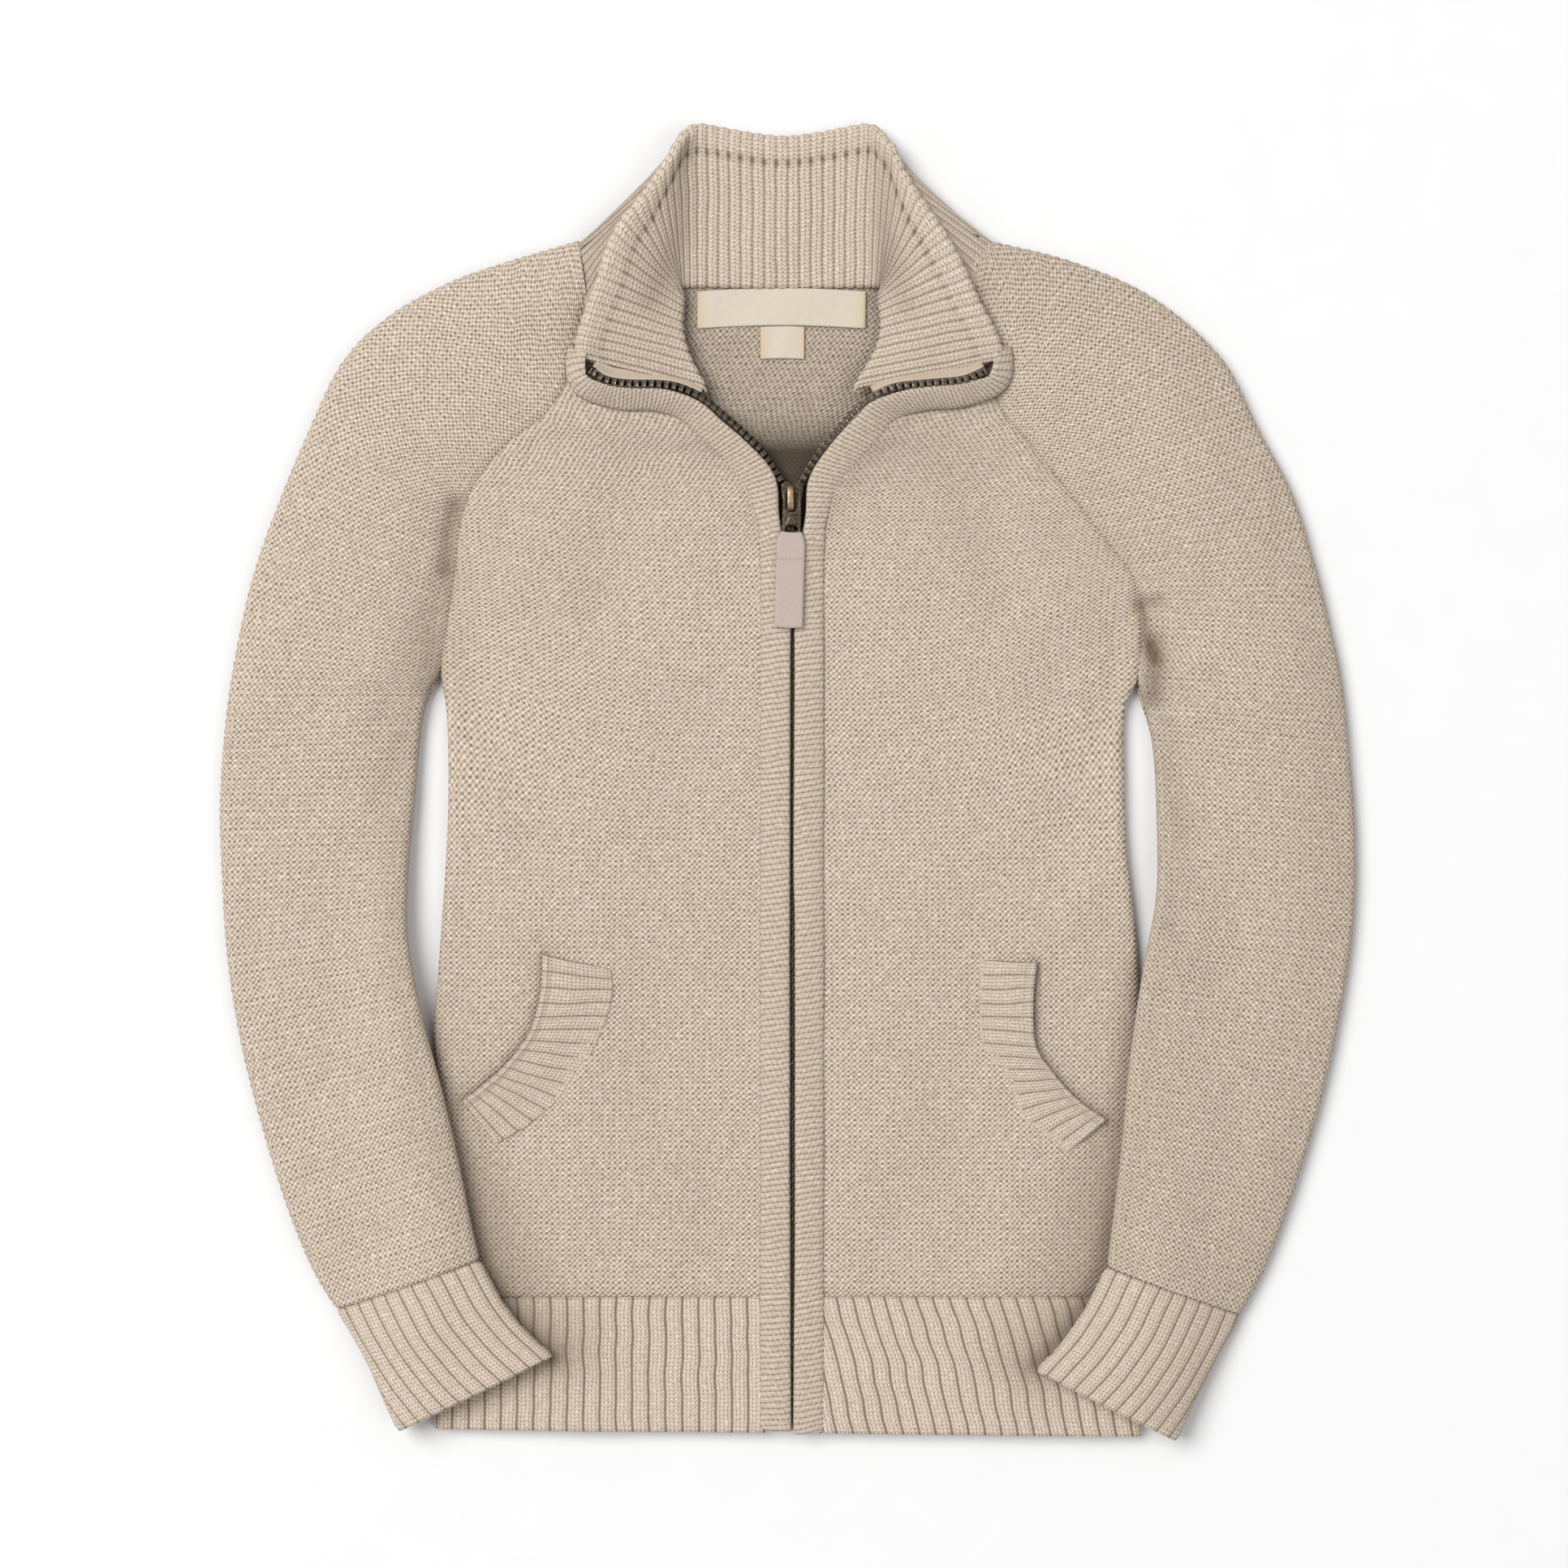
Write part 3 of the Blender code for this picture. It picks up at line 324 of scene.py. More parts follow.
def yarnColour(tree, height, place, tone, paintedShadeAttribute, deep):
    # heathered yarn: pale and tan fibres over the stitch's own light and shade
    stretched = node(tree, "ShaderNodeMapping", {"Vector": place, "Scale": (0.34, 0.90, 1.0)})
    tanShare = remap(tree, noise(tree, stretched.outputs[0], 1.0, 3.0, 0.65), 0.53, 0.63, 0.0,
                     yarn["fibreShare"])
    moved = node(tree, "ShaderNodeMapping", {"Vector": place, "Scale": (0.45, 1.05, 1.0),
                                             "Location": (31.0, 17.0, 4.0)})
    paleShare = remap(tree, noise(tree, moved.outputs[0], 1.0, 3.0, 0.6), 0.52, 0.64, 0.0,
                      yarn["fibreShare"])
    tones = node(tree, "ShaderNodeValToRGB", {"Fac": height})
    tones.color_ramp.elements[0].color = (*yarn["gap"], 1)
    tones.color_ramp.elements[1].color = (*yarn["light"], 1)
    tones.color_ramp.elements.new(0.42).color = (*yarn["ground"], 1)
    plain = tones.outputs[0]
    tanTint = tuple(t / g for t, g in zip(yarn["tan"], yarn["ground"]))
    colour = blendColour(tree, tanShare, plain, blendColour(tree, 1.0, plain, tanTint, "MULTIPLY"))
    colour = blendColour(tree, times(tree, paleShare, height), colour, yarn["pale"])
    low, high = yarn["marl"]
    varied = remap(tree, noise(tree, place, 1.1, 3.0, 0.75), 0.35, 0.65, low * tone, high * tone)
    # painted shade: where the mesh carries it, the colour darkens towards a dark shade of the gaps'
    # colour
    return blendColour(tree, maths(tree, "MULTIPLY", painted(tree, paintedShadeAttribute), 0.8, clamp=True),
                       vectorMaths(tree, "SCALE", colour, scale=varied),
                       tuple(deep * part for part in yarn["gap"]))


def wandering(tree, amount):
    # the place on the cloth, pushed about a little so that rows aren't ruled lines
    place = moved = knitPlace(tree)
    for scale, detail, push in ((0.11, 2.0, 9), (0.9, 1.0, 1.2)):
        shift = vectorMaths(tree, "SUBTRACT", noise(tree, place, scale, detail, output="Color"),
                            (0.5, 0.5, 0.5))
        moved = vectorMaths(tree, "ADD", moved, vectorMaths(tree, "SCALE", shift,
                                                            scale=amount * push))
    return place, moved


def finishYarn(tree, shader, height, place, bump, tone, paintedShadeAttribute="paintedShadeAndStitches", deep=0.78):
    fuzz = times(tree, noise(tree, place, 3.4, 4.0, 0.7), yarn["fuzz"])
    setFinish(tree, shader, yarnColour(tree, height, place, tone, paintedShadeAttribute, deep),
              maths(tree, "ADD", height, fuzz), bump)


def reverseKnit(name, tone, paintedShadeAttribute="paintedShadeAndStitches", deep=0.78):
    # the bumpy side of plain knitting: staggered bars in every row
    made, tree, shader = newMaterial(name, sheen=yarn["sheen"])
    place, moved = wandering(tree, yarn["unevenness"])
    across, along = acrossAndAlong(tree, moved)
    turn = times(tree, across, 2 * math.pi / yarn["stitchWide"])
    row = times(tree, along, 2 * math.pi / yarn["rowHigh"])
    rows = maths(tree, "SINE", row)
    bars = times(tree, maths(tree, "SINE", turn), rows)
    slant = maths(tree, "COSINE", maths(tree, "ADD", turn, row))
    stitch = (yarn["stitchWide"] / 2, yarn["rowHigh"] / 2, 1.0)
    cell = vectorMaths(tree, "FLOOR", vectorMaths(tree, "DIVIDE", moved, stitch))
    uneven = node(tree, "ShaderNodeTexWhiteNoise", {"Vector": cell}).outputs["Value"]
    height, *shares = yarn["stitchHeights"]
    for part, share in zip((uneven, bars, slant, rows), shares):
        height = maths(tree, "MULTIPLY_ADD", part, share, height, clamp=part is rows)
    finishYarn(tree, shader, height, place, yarn["bump"], tone, paintedShadeAttribute, deep)
    return made


def plainKnit(name, piece, swap=False):
    # the smooth side of knitting: columns of small v shapes, with a sunk line after every rib,
    # painted dark as shade
    made, tree, shader = newMaterial(name, sheen=yarn["sheen"])
    place, moved = wandering(tree, yarn["ribUnevenness"])
    rib = piece["rib"]
    u, v = acrossAndAlong(tree, moved)[::-1 if swap else 1]
    column = maths(tree, "SUBTRACT", maths(tree, "FRACT", maths(
        tree, "DIVIDE", u, rib / piece["columns"])), 0.5)
    row = maths(tree, "ADD", maths(tree, "DIVIDE", v, piece["stitchHigh"]),
                maths(tree, "ABSOLUTE", column))
    row = maths(tree, "SINE", times(tree, row, 2 * math.pi))
    split = maths(tree, "POWER", maths(tree, "ABSOLUTE", times(tree, column, 2.0)), 4.0)
    height = maths(tree, "SUBTRACT", maths(tree, "MULTIPLY_ADD", row, 0.24, 0.72),
                   times(tree, split, 0.42), clamp=True)
    ribs = maths(tree, "DIVIDE", acrossAndAlong(tree, place)[1 if swap else 0], rib)
    off = maths(tree, "ABSOLUTE", maths(tree, "SUBTRACT", ribs, maths(tree, "ROUND", ribs)))
    line = remap(tree, off, 0.10 / rib, 0.62 / rib, piece["between"], 1.0, "SMOOTHSTEP")
    height = times(tree, height, maths(tree, "MAXIMUM", line, painted(tree, "shade")))
    finishYarn(tree, shader, height, place, yarn["ribBump"], piece["tone"])
    return made


def acrossKnit(name, piece):
    # fine cords of yarn that run straight across a narrow band
    made, tree, shader = newMaterial(name, sheen=yarn["sheen"])
    place, moved = wandering(tree, yarn["ribUnevenness"])
    across, along = acrossAndAlong(tree, moved)
    turn = times(tree, along, math.pi / piece["cord"])
    cord = maths(tree, "ABSOLUTE", maths(tree, "SINE", turn))
    strands = maths(tree, "SINE", maths(
        tree, "ADD", times(tree, across, 2 * math.pi / piece["strand"]), turn))
    height = maths(tree, "MULTIPLY_ADD", strands, 0.10, maths(
        tree, "MULTIPLY_ADD", cord, 0.66, 0.16), clamp=True)
    finishYarn(tree, shader, height, place, piece["bump"], piece["tone"])
    return made


def wovenMaterial(name, colour, second, pitch, bump, roughness=0.85, stain=(0.52, 0.37, 0.20)):
    # plain weave for zip tape and labels, browner where the mesh carries shade
    made, tree, shader = newMaterial(name, roughness, sheen=0.05)
    place = knitPlace(tree)
    over, under = (maths(tree, "SINE", times(tree, way, math.pi / pitch))
                   for way in acrossAndAlong(tree, place))
    weave = maths(tree, "MULTIPLY_ADD", times(tree, over, under), 0.5, 0.5)
    share = maths(tree, "MULTIPLY_ADD", weave, 0.5, times(tree, noise(tree, place, 0.4, 3.0), 0.5),
                  clamp=True)
    worn = blendColour(tree, share, second, colour)
    stained = blendColour(tree, painted(tree, "shade"), worn, stain)
    setFinish(tree, shader, stained, weave, bump, 0.7)
    return made


def herringbone(name, piece):
    # slanting ribs that turn back every half chevron
    made, tree, shader = newMaterial(name, 0.8, sheen=0.1)
    place = knitPlace(tree)
    across, along = acrossAndAlong(tree, place)
    zigzag = maths(tree, "ABSOLUTE", maths(tree, "SUBTRACT", maths(
        tree, "FRACT", maths(tree, "DIVIDE", across, piece["chevronWide"])), 0.5))
    slant = maths(tree, "ADD", times(tree, zigzag, 8.0), along)
    rib = maths(tree, "MULTIPLY_ADD", maths(tree, "SINE", times(
        tree, slant, 2 * math.pi / piece["ribPitch"])), 0.5, 0.5)
    share = maths(tree, "MULTIPLY_ADD", noise(tree, place, 1.4, 3.0), 0.4, times(tree, rib, 0.8),
                  clamp=True)
    colour = blendColour(tree, share, piece["dark"], piece["light"])
    colour = blendColour(tree, painted(tree, "paintedShadeAndStitches"), colour, piece["stitch"])
    setFinish(tree, shader, colour, rib, 0.00014, 0.7)
    return made


def agedMetal(name, dark, bright):
    made, tree, shader = newMaterial(name, 0.4, metallic=0.95)
    place = node(tree, "ShaderNodeTexCoord").outputs["Object"]
    patches = noise(tree, place, 900.0, 4.0, 0.65)
    rough = remap(tree, patches, 0.3, 0.7, 0.55, 0.3)
    tree.links.new(rough, shader.inputs["Roughness"])
    colour = blendColour(tree, remap(tree, patches, 0.45, 0.68), dark, bright)
    setFinish(tree, shader, colour, noise(tree, place, 4200.0), 0.00008, 0.25)
    return made


print("yarn and finishes ready")


# Body: back, two fronts and the hem rib, laid on each other

body = {
    "tone": 0.96,
    # the inside of the back is painted a little darker, as in shade
    "insideTone": 0.93,
    "insideDeep": 0.34,         # how light the inside's deepest shade stays
    "height": 7.0,
    "frontCrown": 1.0,
    "middle": 2.2,              # the zip's line
    "hemSeam": -190.0,
    "frontEdge": {-1: -10.4, 1: 14.6},
    "underBand": 2.4,           # how far the fronts reach under the bands
    "unevenness": 0.4,
    "hollow": 1.9,              # depth of the hollows at the underarms
    "seamDip": 1.1,
    "bandRoll": 1.5,            # the fronts rise over the zip's seam above the chest
    "pullUp": 20.0,             # how far the rows of stitches are drawn up towards the underarm
    "pullHeight": 44.0,
    "pullWide": 48.0,
    "shadows": ((0.40, 5.0), (0.34, 14.0), (0.17, 24.0)),  # beside a sleeve: depth, width
    "shadowGrows": (-105, 75),  # the y from which the wide shadows grow, and over how much
    "shadowEnds": (-212, 20),
    "backLift": 0.35,           # the back stands this much off the floor between its edges
    "frontStep": 1.5,
    "frontColumns": 58,
    "backStep": 2.4,
    "backColumns": 92,
}
bodyKnit = reverseKnit("oatmealReverseKnit", body["tone"])
backKnit = reverseKnit("oatmealBackOutside", body["tone"], "none")  # it has no hollows or shadows
# a darker copy of the knit, with deeper painted shade, for the back's inside
shadedInsideKnit = reverseKnit("oatmealInsideShaded", body["insideTone"], deep=body["insideDeep"])

# y and x of the side edges, from hem to underarm
sideEdge = {
    -1: [(-239.4, -131), (-215, -129.5), (-190, -127.2), (-160, -125.8), (-130, -127), (-96, -131),
         (-48, -127.5), (-8, -125), (25, -126)],
    1: [(-242.1, 131.5), (-215, 130.3), (-190, 128.7), (-160, 127.8), (-130, 128.7), (-96, 130.3),
        (-62, 130.8), (-30, 126.4), (0, 125.2), (22, 125.4)],
}
# raglan seams from underarm to neck: seam x, y; the sleeve's fold x, y; the front's inner edge x, y
raglan = {
    -1: [(-128, 41.5, -204, 49, -10.4, 41.5), (-126, 59, -197.5, 77.5, -10.4, 62),
         (-123, 80.5, -188.5, 103, -10.6, 84), (-120.5, 99, -177.5, 129.5, -12.6, 99.5),
         (-114, 113, -164.5, 156, -18.6, 110.5), (-103, 126, -146.5, 173.5, -27, 120),
         (-89, 137, -124.5, 185.5, -36.5, 128), (-80.5, 152, -105, 192.5, -50, 146),
         (-75.5, 173.5, -86, 197, -68, 166)],
    1: [(130, 38.5, 206.5, 33, 14.6, 38.5), (133, 60, 202.5, 54, 14.6, 60),
        (127.5, 77.5, 195.5, 82, 14.8, 80), (115.5, 93.5, 187.5, 107, 16.6, 97),
        (104, 108.5, 175, 131, 22.2, 109), (92, 123.5, 161, 157.5, 31, 119.5),
        (80.5, 137, 136, 179.5, 39.5, 128), (74.5, 152, 106, 193, 51.5, 146),
        (70, 171.5, 79.5, 200.5, 63.5, 165)],
}
# underarm to cuff: the fold x, y; the seam x, y; how far the sleeve rises over the body's edge
sleeveRows = {
    -1: [(-208, 22, -134.5, 25, 0), (-210, -8.5, -137.8, -8.5, 0.2),
         (-209.2, -36.5, -139.8, -32, 0.5), (-207.3, -65, -139.9, -56, 0.9),
         (-202.3, -96.5, -135, -83, 1), (-193.5, -131, -127, -113, 1),
         (-184.2, -160, -121, -138.5, 1), (-175.4, -181, -116.5, -161, 1),
         (-166.8, -195.5, -113, -176, 1)],
    1: [(209, 8, 135.5, 15, 0), (211, -21.5, 137, -15, 0.5), (210.4, -50, 136.4, -42, 1),
        (206.6, -79, 131.2, -70, 1), (199.6, -113, 126.5, -102, 1), (190, -146, 123.5, -133, 1),
        (179.2, -176, 120.5, -159, 1), (168.4, -197.5, 118, -178.5, 1)],
}
cuffRows = {
    -1: [(-166.8, -195.5, -113, -176, 1), (-157.5, -210.5, -104.5, -191.5, 1),
         (-150.5, -224.5, -95, -203, 1), (-143.5, -239.5, -86, -211, 1)],
    1: [(168.4, -197.5, 118, -178.5, 1), (160, -212, 110.5, -193.5, 1),
        (151.8, -227, 101.5, -206.5, 1), (144.2, -243, 92, -216.5, 1)],
}
# pocket trims from top to bottom: the mouth x, y; the sewn edge x, y
trimRows = {
    -1: [(-90, -63.5, -64.8, -69), (-90.8, -78, -64.2, -78.5), (-95, -92.5, -68.5, -93),
         (-104, -104.5, -79, -112), (-113, -112.5, -94, -125.5), (-119.5, -117.5, -107, -133.5)],
    1: [(92.5, -66.5, 71.5, -65.5), (91.2, -80, 71.5, -81), (92, -96.5, 71.5, -95),
        (98, -106.5, 77.5, -106.5), (107.5, -117, 88, -124), (118, -124.5, 104, -137)],
}
# the hollow at each underarm, sunk and darkened with painted shade, and how deep it is
underarm = {-1: [([(-122.5, 103.0), (-125.6, 93.0), (-126.3, 79.0)], 1.0, 3.3),
                 ([(-127.5, 74.0), (-131.5, 60.0), (-131.5, 36.0)], 0.55, 6.0)],
            1: [([(130.5, 66.5), (138.0, 67.5)], 0.65, 2.6),
                ([(131.5, 64.0), (134.0, 54.0), (136.5, 46.0)], 0.70, 2.6),
                ([(135.5, 50.0), (136.8, 44.0), (135.5, 32.0)], 1.0, 4.4)]}
# soft folds on the fronts: from x, y to x, y, width, height
frontFolds = {
    -1: [(-122, 60, -118, 20, 7, -1.2), (-110, 70, -70, 30, 12, 0.9), (-120, 20, -95, -20, 9, -0.8),
         (-60, 120, -75, 60, 10, -0.7), (-30, 100, -38, 30, 12, 0.5),
         (-122, -30, -100, -60, 8, 0.6), (-60, -60, -50, -150, 14, -0.5),
         (-115, -135, -95, -185, 9, -0.9), (-80, -150, -70, -188, 8, 0.6),
         (-30, -140, -36, -188, 9, -0.5), (-88, 110, -100, 70, 8, 0.8)],
    1: [(125, 60, 118, 20, 7, -1.3), (115, 75, 75, 35, 12, 0.9), (120, 25, 95, -15, 9, -0.8),
        (62, 120, 78, 60, 10, -0.7), (34, 100, 44, 30, 12, 0.5), (120, -30, 100, -55, 8, 0.6),
        (62, -60, 55, -150, 14, -0.5), (118, -135, 98, -185, 9, -0.9), (84, -150, 74, -188, 8, 0.6),
        (34, -140, 38, -188, 9, -0.5), (88, 112, 100, 72, 8, 0.8)],
}


def hollowAt(side, x, y):
    return sum(depth * nearLine(x, y, line, width) for line, depth, width in underarm[side])


def besideSleeve(side, x, y):
    # the shadow that a sleeve and its cuff throw on what they lie on
    line = [(sx, sy) for fx, fy, sx, sy, lap in sleeveRows[side][3:] + cuffRows[side][1:]]
    lower, ending = (ease((start - y) / over)
                     for start, over in (body["shadowGrows"], body["shadowEnds"]))
    close, middle, wide = (depth * nearLine(x, y, line, width) for depth, width in body["shadows"])
    return (1 - 0.6 * ending) * (close + middle * (0.35 + 0.65 * lower) + wide * lower)


def sideAt(side, y):
    ys, xs = np.array(sideEdge[side]).T
    return np.interp(y, ys, xs)


def frontTop(x, y):
    across = ramp(np.abs(x - body["middle"]) - 12, 112)
    return body["height"] + body["frontCrown"] * np.sin(np.pi * across) * ease((100 - y) / 60)


def rowsFrom(keys, step):
    # a piece's rows from one edge to the other: starts, ends, closing, width, heading, the rest
    rows, along = throughRows(keys, step)
    starts, ends, closing = rows[:, 0:2], rows[:, 2:4], np.clip(rows[:, 4:5], 0, 1)
    width = np.linalg.norm(ends - starts, axis=1)[:, None]
    return starts, ends, closing, width, (ends - starts) / width, rows[:, 5:], along


def spotsAt(starts, heading, place):
    return starts[:, :1] + heading[:, :1] * place, starts[:, 1:] + heading[:, 1:] * place


def frontSurface(side):
    seam = body["hemSeam"] - 0.5
    keys = [(body["frontEdge"][side], y, sideAt(side, y), y, 1.0)
            for y in np.linspace(seam, 26, 10)]
    keys += [(ix, iy, sx, sy, 0.0) for sx, sy, fx, fy, ix, iy in raglan[side]]
    keys = [(ix - side * (body["underBand"] + 3.6 * ease((iy - 95) / 15)), iy, *others)
            for ix, iy, *others in keys]
    inner, outer, closing, width, heading, _, along = rowsFrom(keys, body["frontStep"])
    radius, count = body["height"] / 2, body["frontColumns"]
    flat = np.linspace(0, 1, count) * (width - radius)
    turn = np.linspace(0, math.pi / 2, 7)[1:]
    face = frontTop(outer[:, :1], outer[:, 1:])
    reach, edgeZ = rollEdge(turn, radius, closing, face, radius)
    place = np.hstack([flat, width - radius + reach])
    x, y = spotsAt(inner, heading, place)
    z = frontTop(x, y)
    z[:, count:] = edgeZ
    away = ramp(width - place, 14) * ramp(place + 3, 10)
    soft = folds(x, y, frontFolds[side])
    hollow = hollowAt(side, x, y)
    z += away * (waves(x, y, 11 + side, body["unevenness"]) + soft) - body["hollow"] * hollow
    z += body["bandRoll"] * near(np.maximum(place, 0), 9) * ease((y - 96) / 16)
    seamDip = near(width - place, 2.0) * (1 - closing) * body["seamDip"]
    z -= seamDip + 0.8 * near(y - body["hemSeam"], 1.6) * (place < width - radius)
    # painted shade: along the raglan seam, in the underarm hollows and fold troughs, where a sleeve
    # throws its shadow, beside the pocket mouth and beside the band above the chest
    mouth = [row[:2] for row in trimRows[side]]
    shade = (0.25 * near(width - place, 0.8) * (1 - closing) + 0.75 * hollow
             + 0.10 * np.clip(-soft, 0, 3) * away + besideSleeve(side, x, y)
             + 0.55 * nearLine(x, y, mouth, 1.7) + 0.15 * nearLine(x, y, mouth, 6.0)
             + 0.14 * near(place - 1.6, 6) * ease((y - 84) / 12))
    return np.dstack([x, y, z]), place, along[:, None], shade


for side, name in sides:
    points, across, along, shade = frontSurface(side)
    fromSide = across[:, -1:] - across
    pulled = near(points[..., 1] - body["pullHeight"], body["pullWide"])
    along = along - body["pullUp"] * pulled * near(fromSide, body["pullWide"])
    across = across + 8 * pulled * (1 - np.exp(-fromSide / 35))
    piece = knitPiece("front" + name.capitalize(), points, across * side, along, bodyKnit,
                      turned=side < 0, paintedShadeAndStitches=shade)
    declareCloth(piece, ["front_" + name], "knit")
print("fronts made")


def backSurface():
    keys = [(sideAt(-1, y), y, sideAt(1, y), y, 1.0, 0.0)
            for y in np.linspace(body["hemSeam"] + 0.25, 26, 10)]
    for i, (left, right) in enumerate(zip(raglan[-1], raglan[1])):
        keys.append((left[0] + 0.3, left[1], right[0] - 0.3, right[1], 0.0,
                     14.0 * max(i - 5, 0) / 3))
    left, right, closing, width, heading, rise, along = rowsFrom(keys, body["backStep"])
    radius = body["height"] / 2
    turn = np.linspace(0, math.pi / 2, 6)[1:]
    reach, edgeZ = rollEdge(turn, radius, closing, 0.0, radius)
    flat = np.linspace(0, 1, body["backColumns"]) * (width - 2 * radius)
    place = np.hstack([(radius - reach)[:, ::-1], radius + flat, width - radius + reach])
    z = np.hstack([edgeZ[:, ::-1], flat * 0, edgeZ])
    x, y = spotsAt(left, heading, place)
    y = y + rise * (1 - np.abs(2 * place / width - 1) ** 3)
    z = z + body["backLift"] * ramp(place, 12) * ramp(width - place, 12) * (1 + waves(x, y, 5, 0.8))
    return np.dstack([x, y, z]), place, along[:, None]


# painted shade on the inside: darker from the neck down into the opening and beside the collar's
# ends
points, across, along = backSurface()
x, y = points[..., 0], points[..., 1]
depth = (0.30 + 0.10 * ease((152 - y) / 22) + 1.1 * ease((141 - y) / 24) ** 1.6
         + 0.25 * nearLine(x, y, [(-38, 180), (-42, 166), (-31, 146)], 6)
         + 0.25 * nearLine(x, y, [(34, 180), (39, 166), (27, 146)], 6))
back = knitPiece("backPanel", points, across, along, backKnit, turned=True, paintedShadeAndStitches=depth)
back.data.materials.append(shadedInsideKnit)
back.modifiers["Wall"].material_offset = 1
declareCloth(back, ["back"], "knit")
print("back made")


hemRib = {
    "low": (-239.4, -242.1),    # the hem's edge at its left and right end
    "tall": 49.0,
    "rib": 6.1,
    "columns": 4,               # of stitches in a rib
    "stitchHigh": 1.45,
    "tone": 0.96,
    "between": 0.1,             # how light the painted shade in the line between two ribs is
    "groove": 0.75,
    "wander": 0.35,
    "rows": 40,
    "frontColumns": 190,
    "backColumns": 150,
}
hemKnit = plainKnit("oatmealHemRib", hemRib)


def hemSurface():
    made = []
    count, r, seam = hemRib["frontColumns"], body["height"] / 2, body["hemSeam"] - 0.25
    turn = np.radians(np.linspace(90, -90, 14)[1:-1])
    reach, front = np.cos(turn), np.linspace(0, 1, count)
    starts = [body["frontEdge"][side] - side * body["underBand"] for side in (-1, 1)]
    for amount in np.linspace(0, 1, hemRib["rows"]):
        yLeft, yRight = (low + (seam - low) * amount for low in hemRib["low"])
        left, right = sideAt(-1, yLeft), sideAt(1, yRight)
        x = np.concatenate([starts[0] + (left + r - starts[0]) * front, left + r - r * reach,
                            np.linspace(left + r, right - r, hemRib["backColumns"]),
                            right - r + r * reach[::-1],
                            right - r + (starts[1] - right + r) * front])
        y = yLeft + (yRight - yLeft) * (x - left) / (right - left)
        top, bend = frontTop(x, y), r + r * np.sin(turn)
        z = np.concatenate([top[:count], bend, np.zeros(hemRib["backColumns"]), bend[::-1],
                            top[-count:]])
        made.append(np.stack([x, y, z], axis=1))
    return np.array(made)


points = hemSurface()
x, y, z = (points[..., k] for k in range(3))
across = pathOver(points)
along = np.linspace(0, hemRib["tall"], hemRib["rows"])[:, None]
wander = hemRib["wander"] * waves(across, along * 3, 21, 1.0)
groove = ribValley((across + wander) / hemRib["rib"], hemRib["rib"], hemRib["groove"])
groove = groove * (0.9 + 0.15 * waves(across, along, 23, 1.0))
fromSeam = hemRib["tall"] - along
topFace = z > body["height"] / 2
relief = np.where(topFace, 0.5, 0.3) * (0.5 - groove * 1.2)
relief = relief - 0.6 * (near(fromSeam, 1.6) + 0.8 * near(along, 1.4))
relief += np.where(topFace, waves(x, y, 12, 0.45), 0)
# painted shade: between the ribs, along the seam, and on the top face where the sleeves throw their
# shadow
shadow = sum(besideSleeve(side, x, y) for side in (-1, 1)) * topFace
hem = knitPiece("hemRib", points, across + wander, along, hemKnit, turned=True, relief=relief,
                paintedShadeAndStitches=groove * 0.32 + 0.2 * near(fromSeam, 0.9) + shadow)
declareCloth(hem, ["hem"], "rib")
print("hem made")


sleeve = {
    "height": 7.4,
    "crown": 2.0,
    "rise": 1.2,                # gap between a sleeve and the front that it lies on
    "ridge": 0.24,              # rows of stitches stand up as ridges
    "ridgePitch": 3.1,
    "coursesPerRidge": 1.5,
    "unevenness": 0.45,
    "hollow": 1.6,
    "farShade": {-1: 0.0, 1: 0.20},     # the outer edge turning away from the light
    "nearShade": {-1: 0.20, 1: 0.16},
    "step": 0.75,
    "columns": (28, 12),        # over the top and along the underside
    "shaded": 24,               # columns from the seam that have hollows and creases
}
cuff = {
    "rib": 5.7,
    "columns": 4,
    "stitchHigh": 1.45,
    "tone": 0.945,
    "between": 0.22,
    "groove": 0.75,
    "wander": 0.3,
    "step": 0.9,
    "faceColumns": (66, 34),
}
cuffKnit = plainKnit("oatmealCuffRib", cuff)
sleeveFolds = {
    -1: [(-138, 22, -150, -10, 6, -1.2), (-146, 40, -170, 10, 9, 0.9),
         (-135, 60, -150, 20, 7, -1.3), (-128, 100, -140, 70, 6, -0.7),
         (-190, 60, -200, 20, 9, 0.5), (-140, -20, -150, -60, 7, 0.6),
         (-198, -60, -175, -110, 9, -0.7), (-150, -120, -165, -160, 8, 0.6),
         (-140, -110, -128, -150, 6, -0.6), (-185, -120, -165, -175, 7, 0.5)],
    1: [(140, 12, 150, -20, 6, -1.2), (136, 60, 148, 20, 7, -1.2), (133, 40, 152, 22, 6, 1.1),
        (138, 30, 160, 40, 5, -0.9), (190, 60, 200, 20, 9, 0.5), (142, -30, 154, -66, 7, 0.6),
        (140, -52, 160, -72, 6, -1.0), (138, -60, 150, -84, 5, 0.7), (200, -60, 178, -115, 9, -0.7),
        (150, -120, 166, -165, 8, 0.6), (188, -120, 168, -180, 7, 0.5)],
}


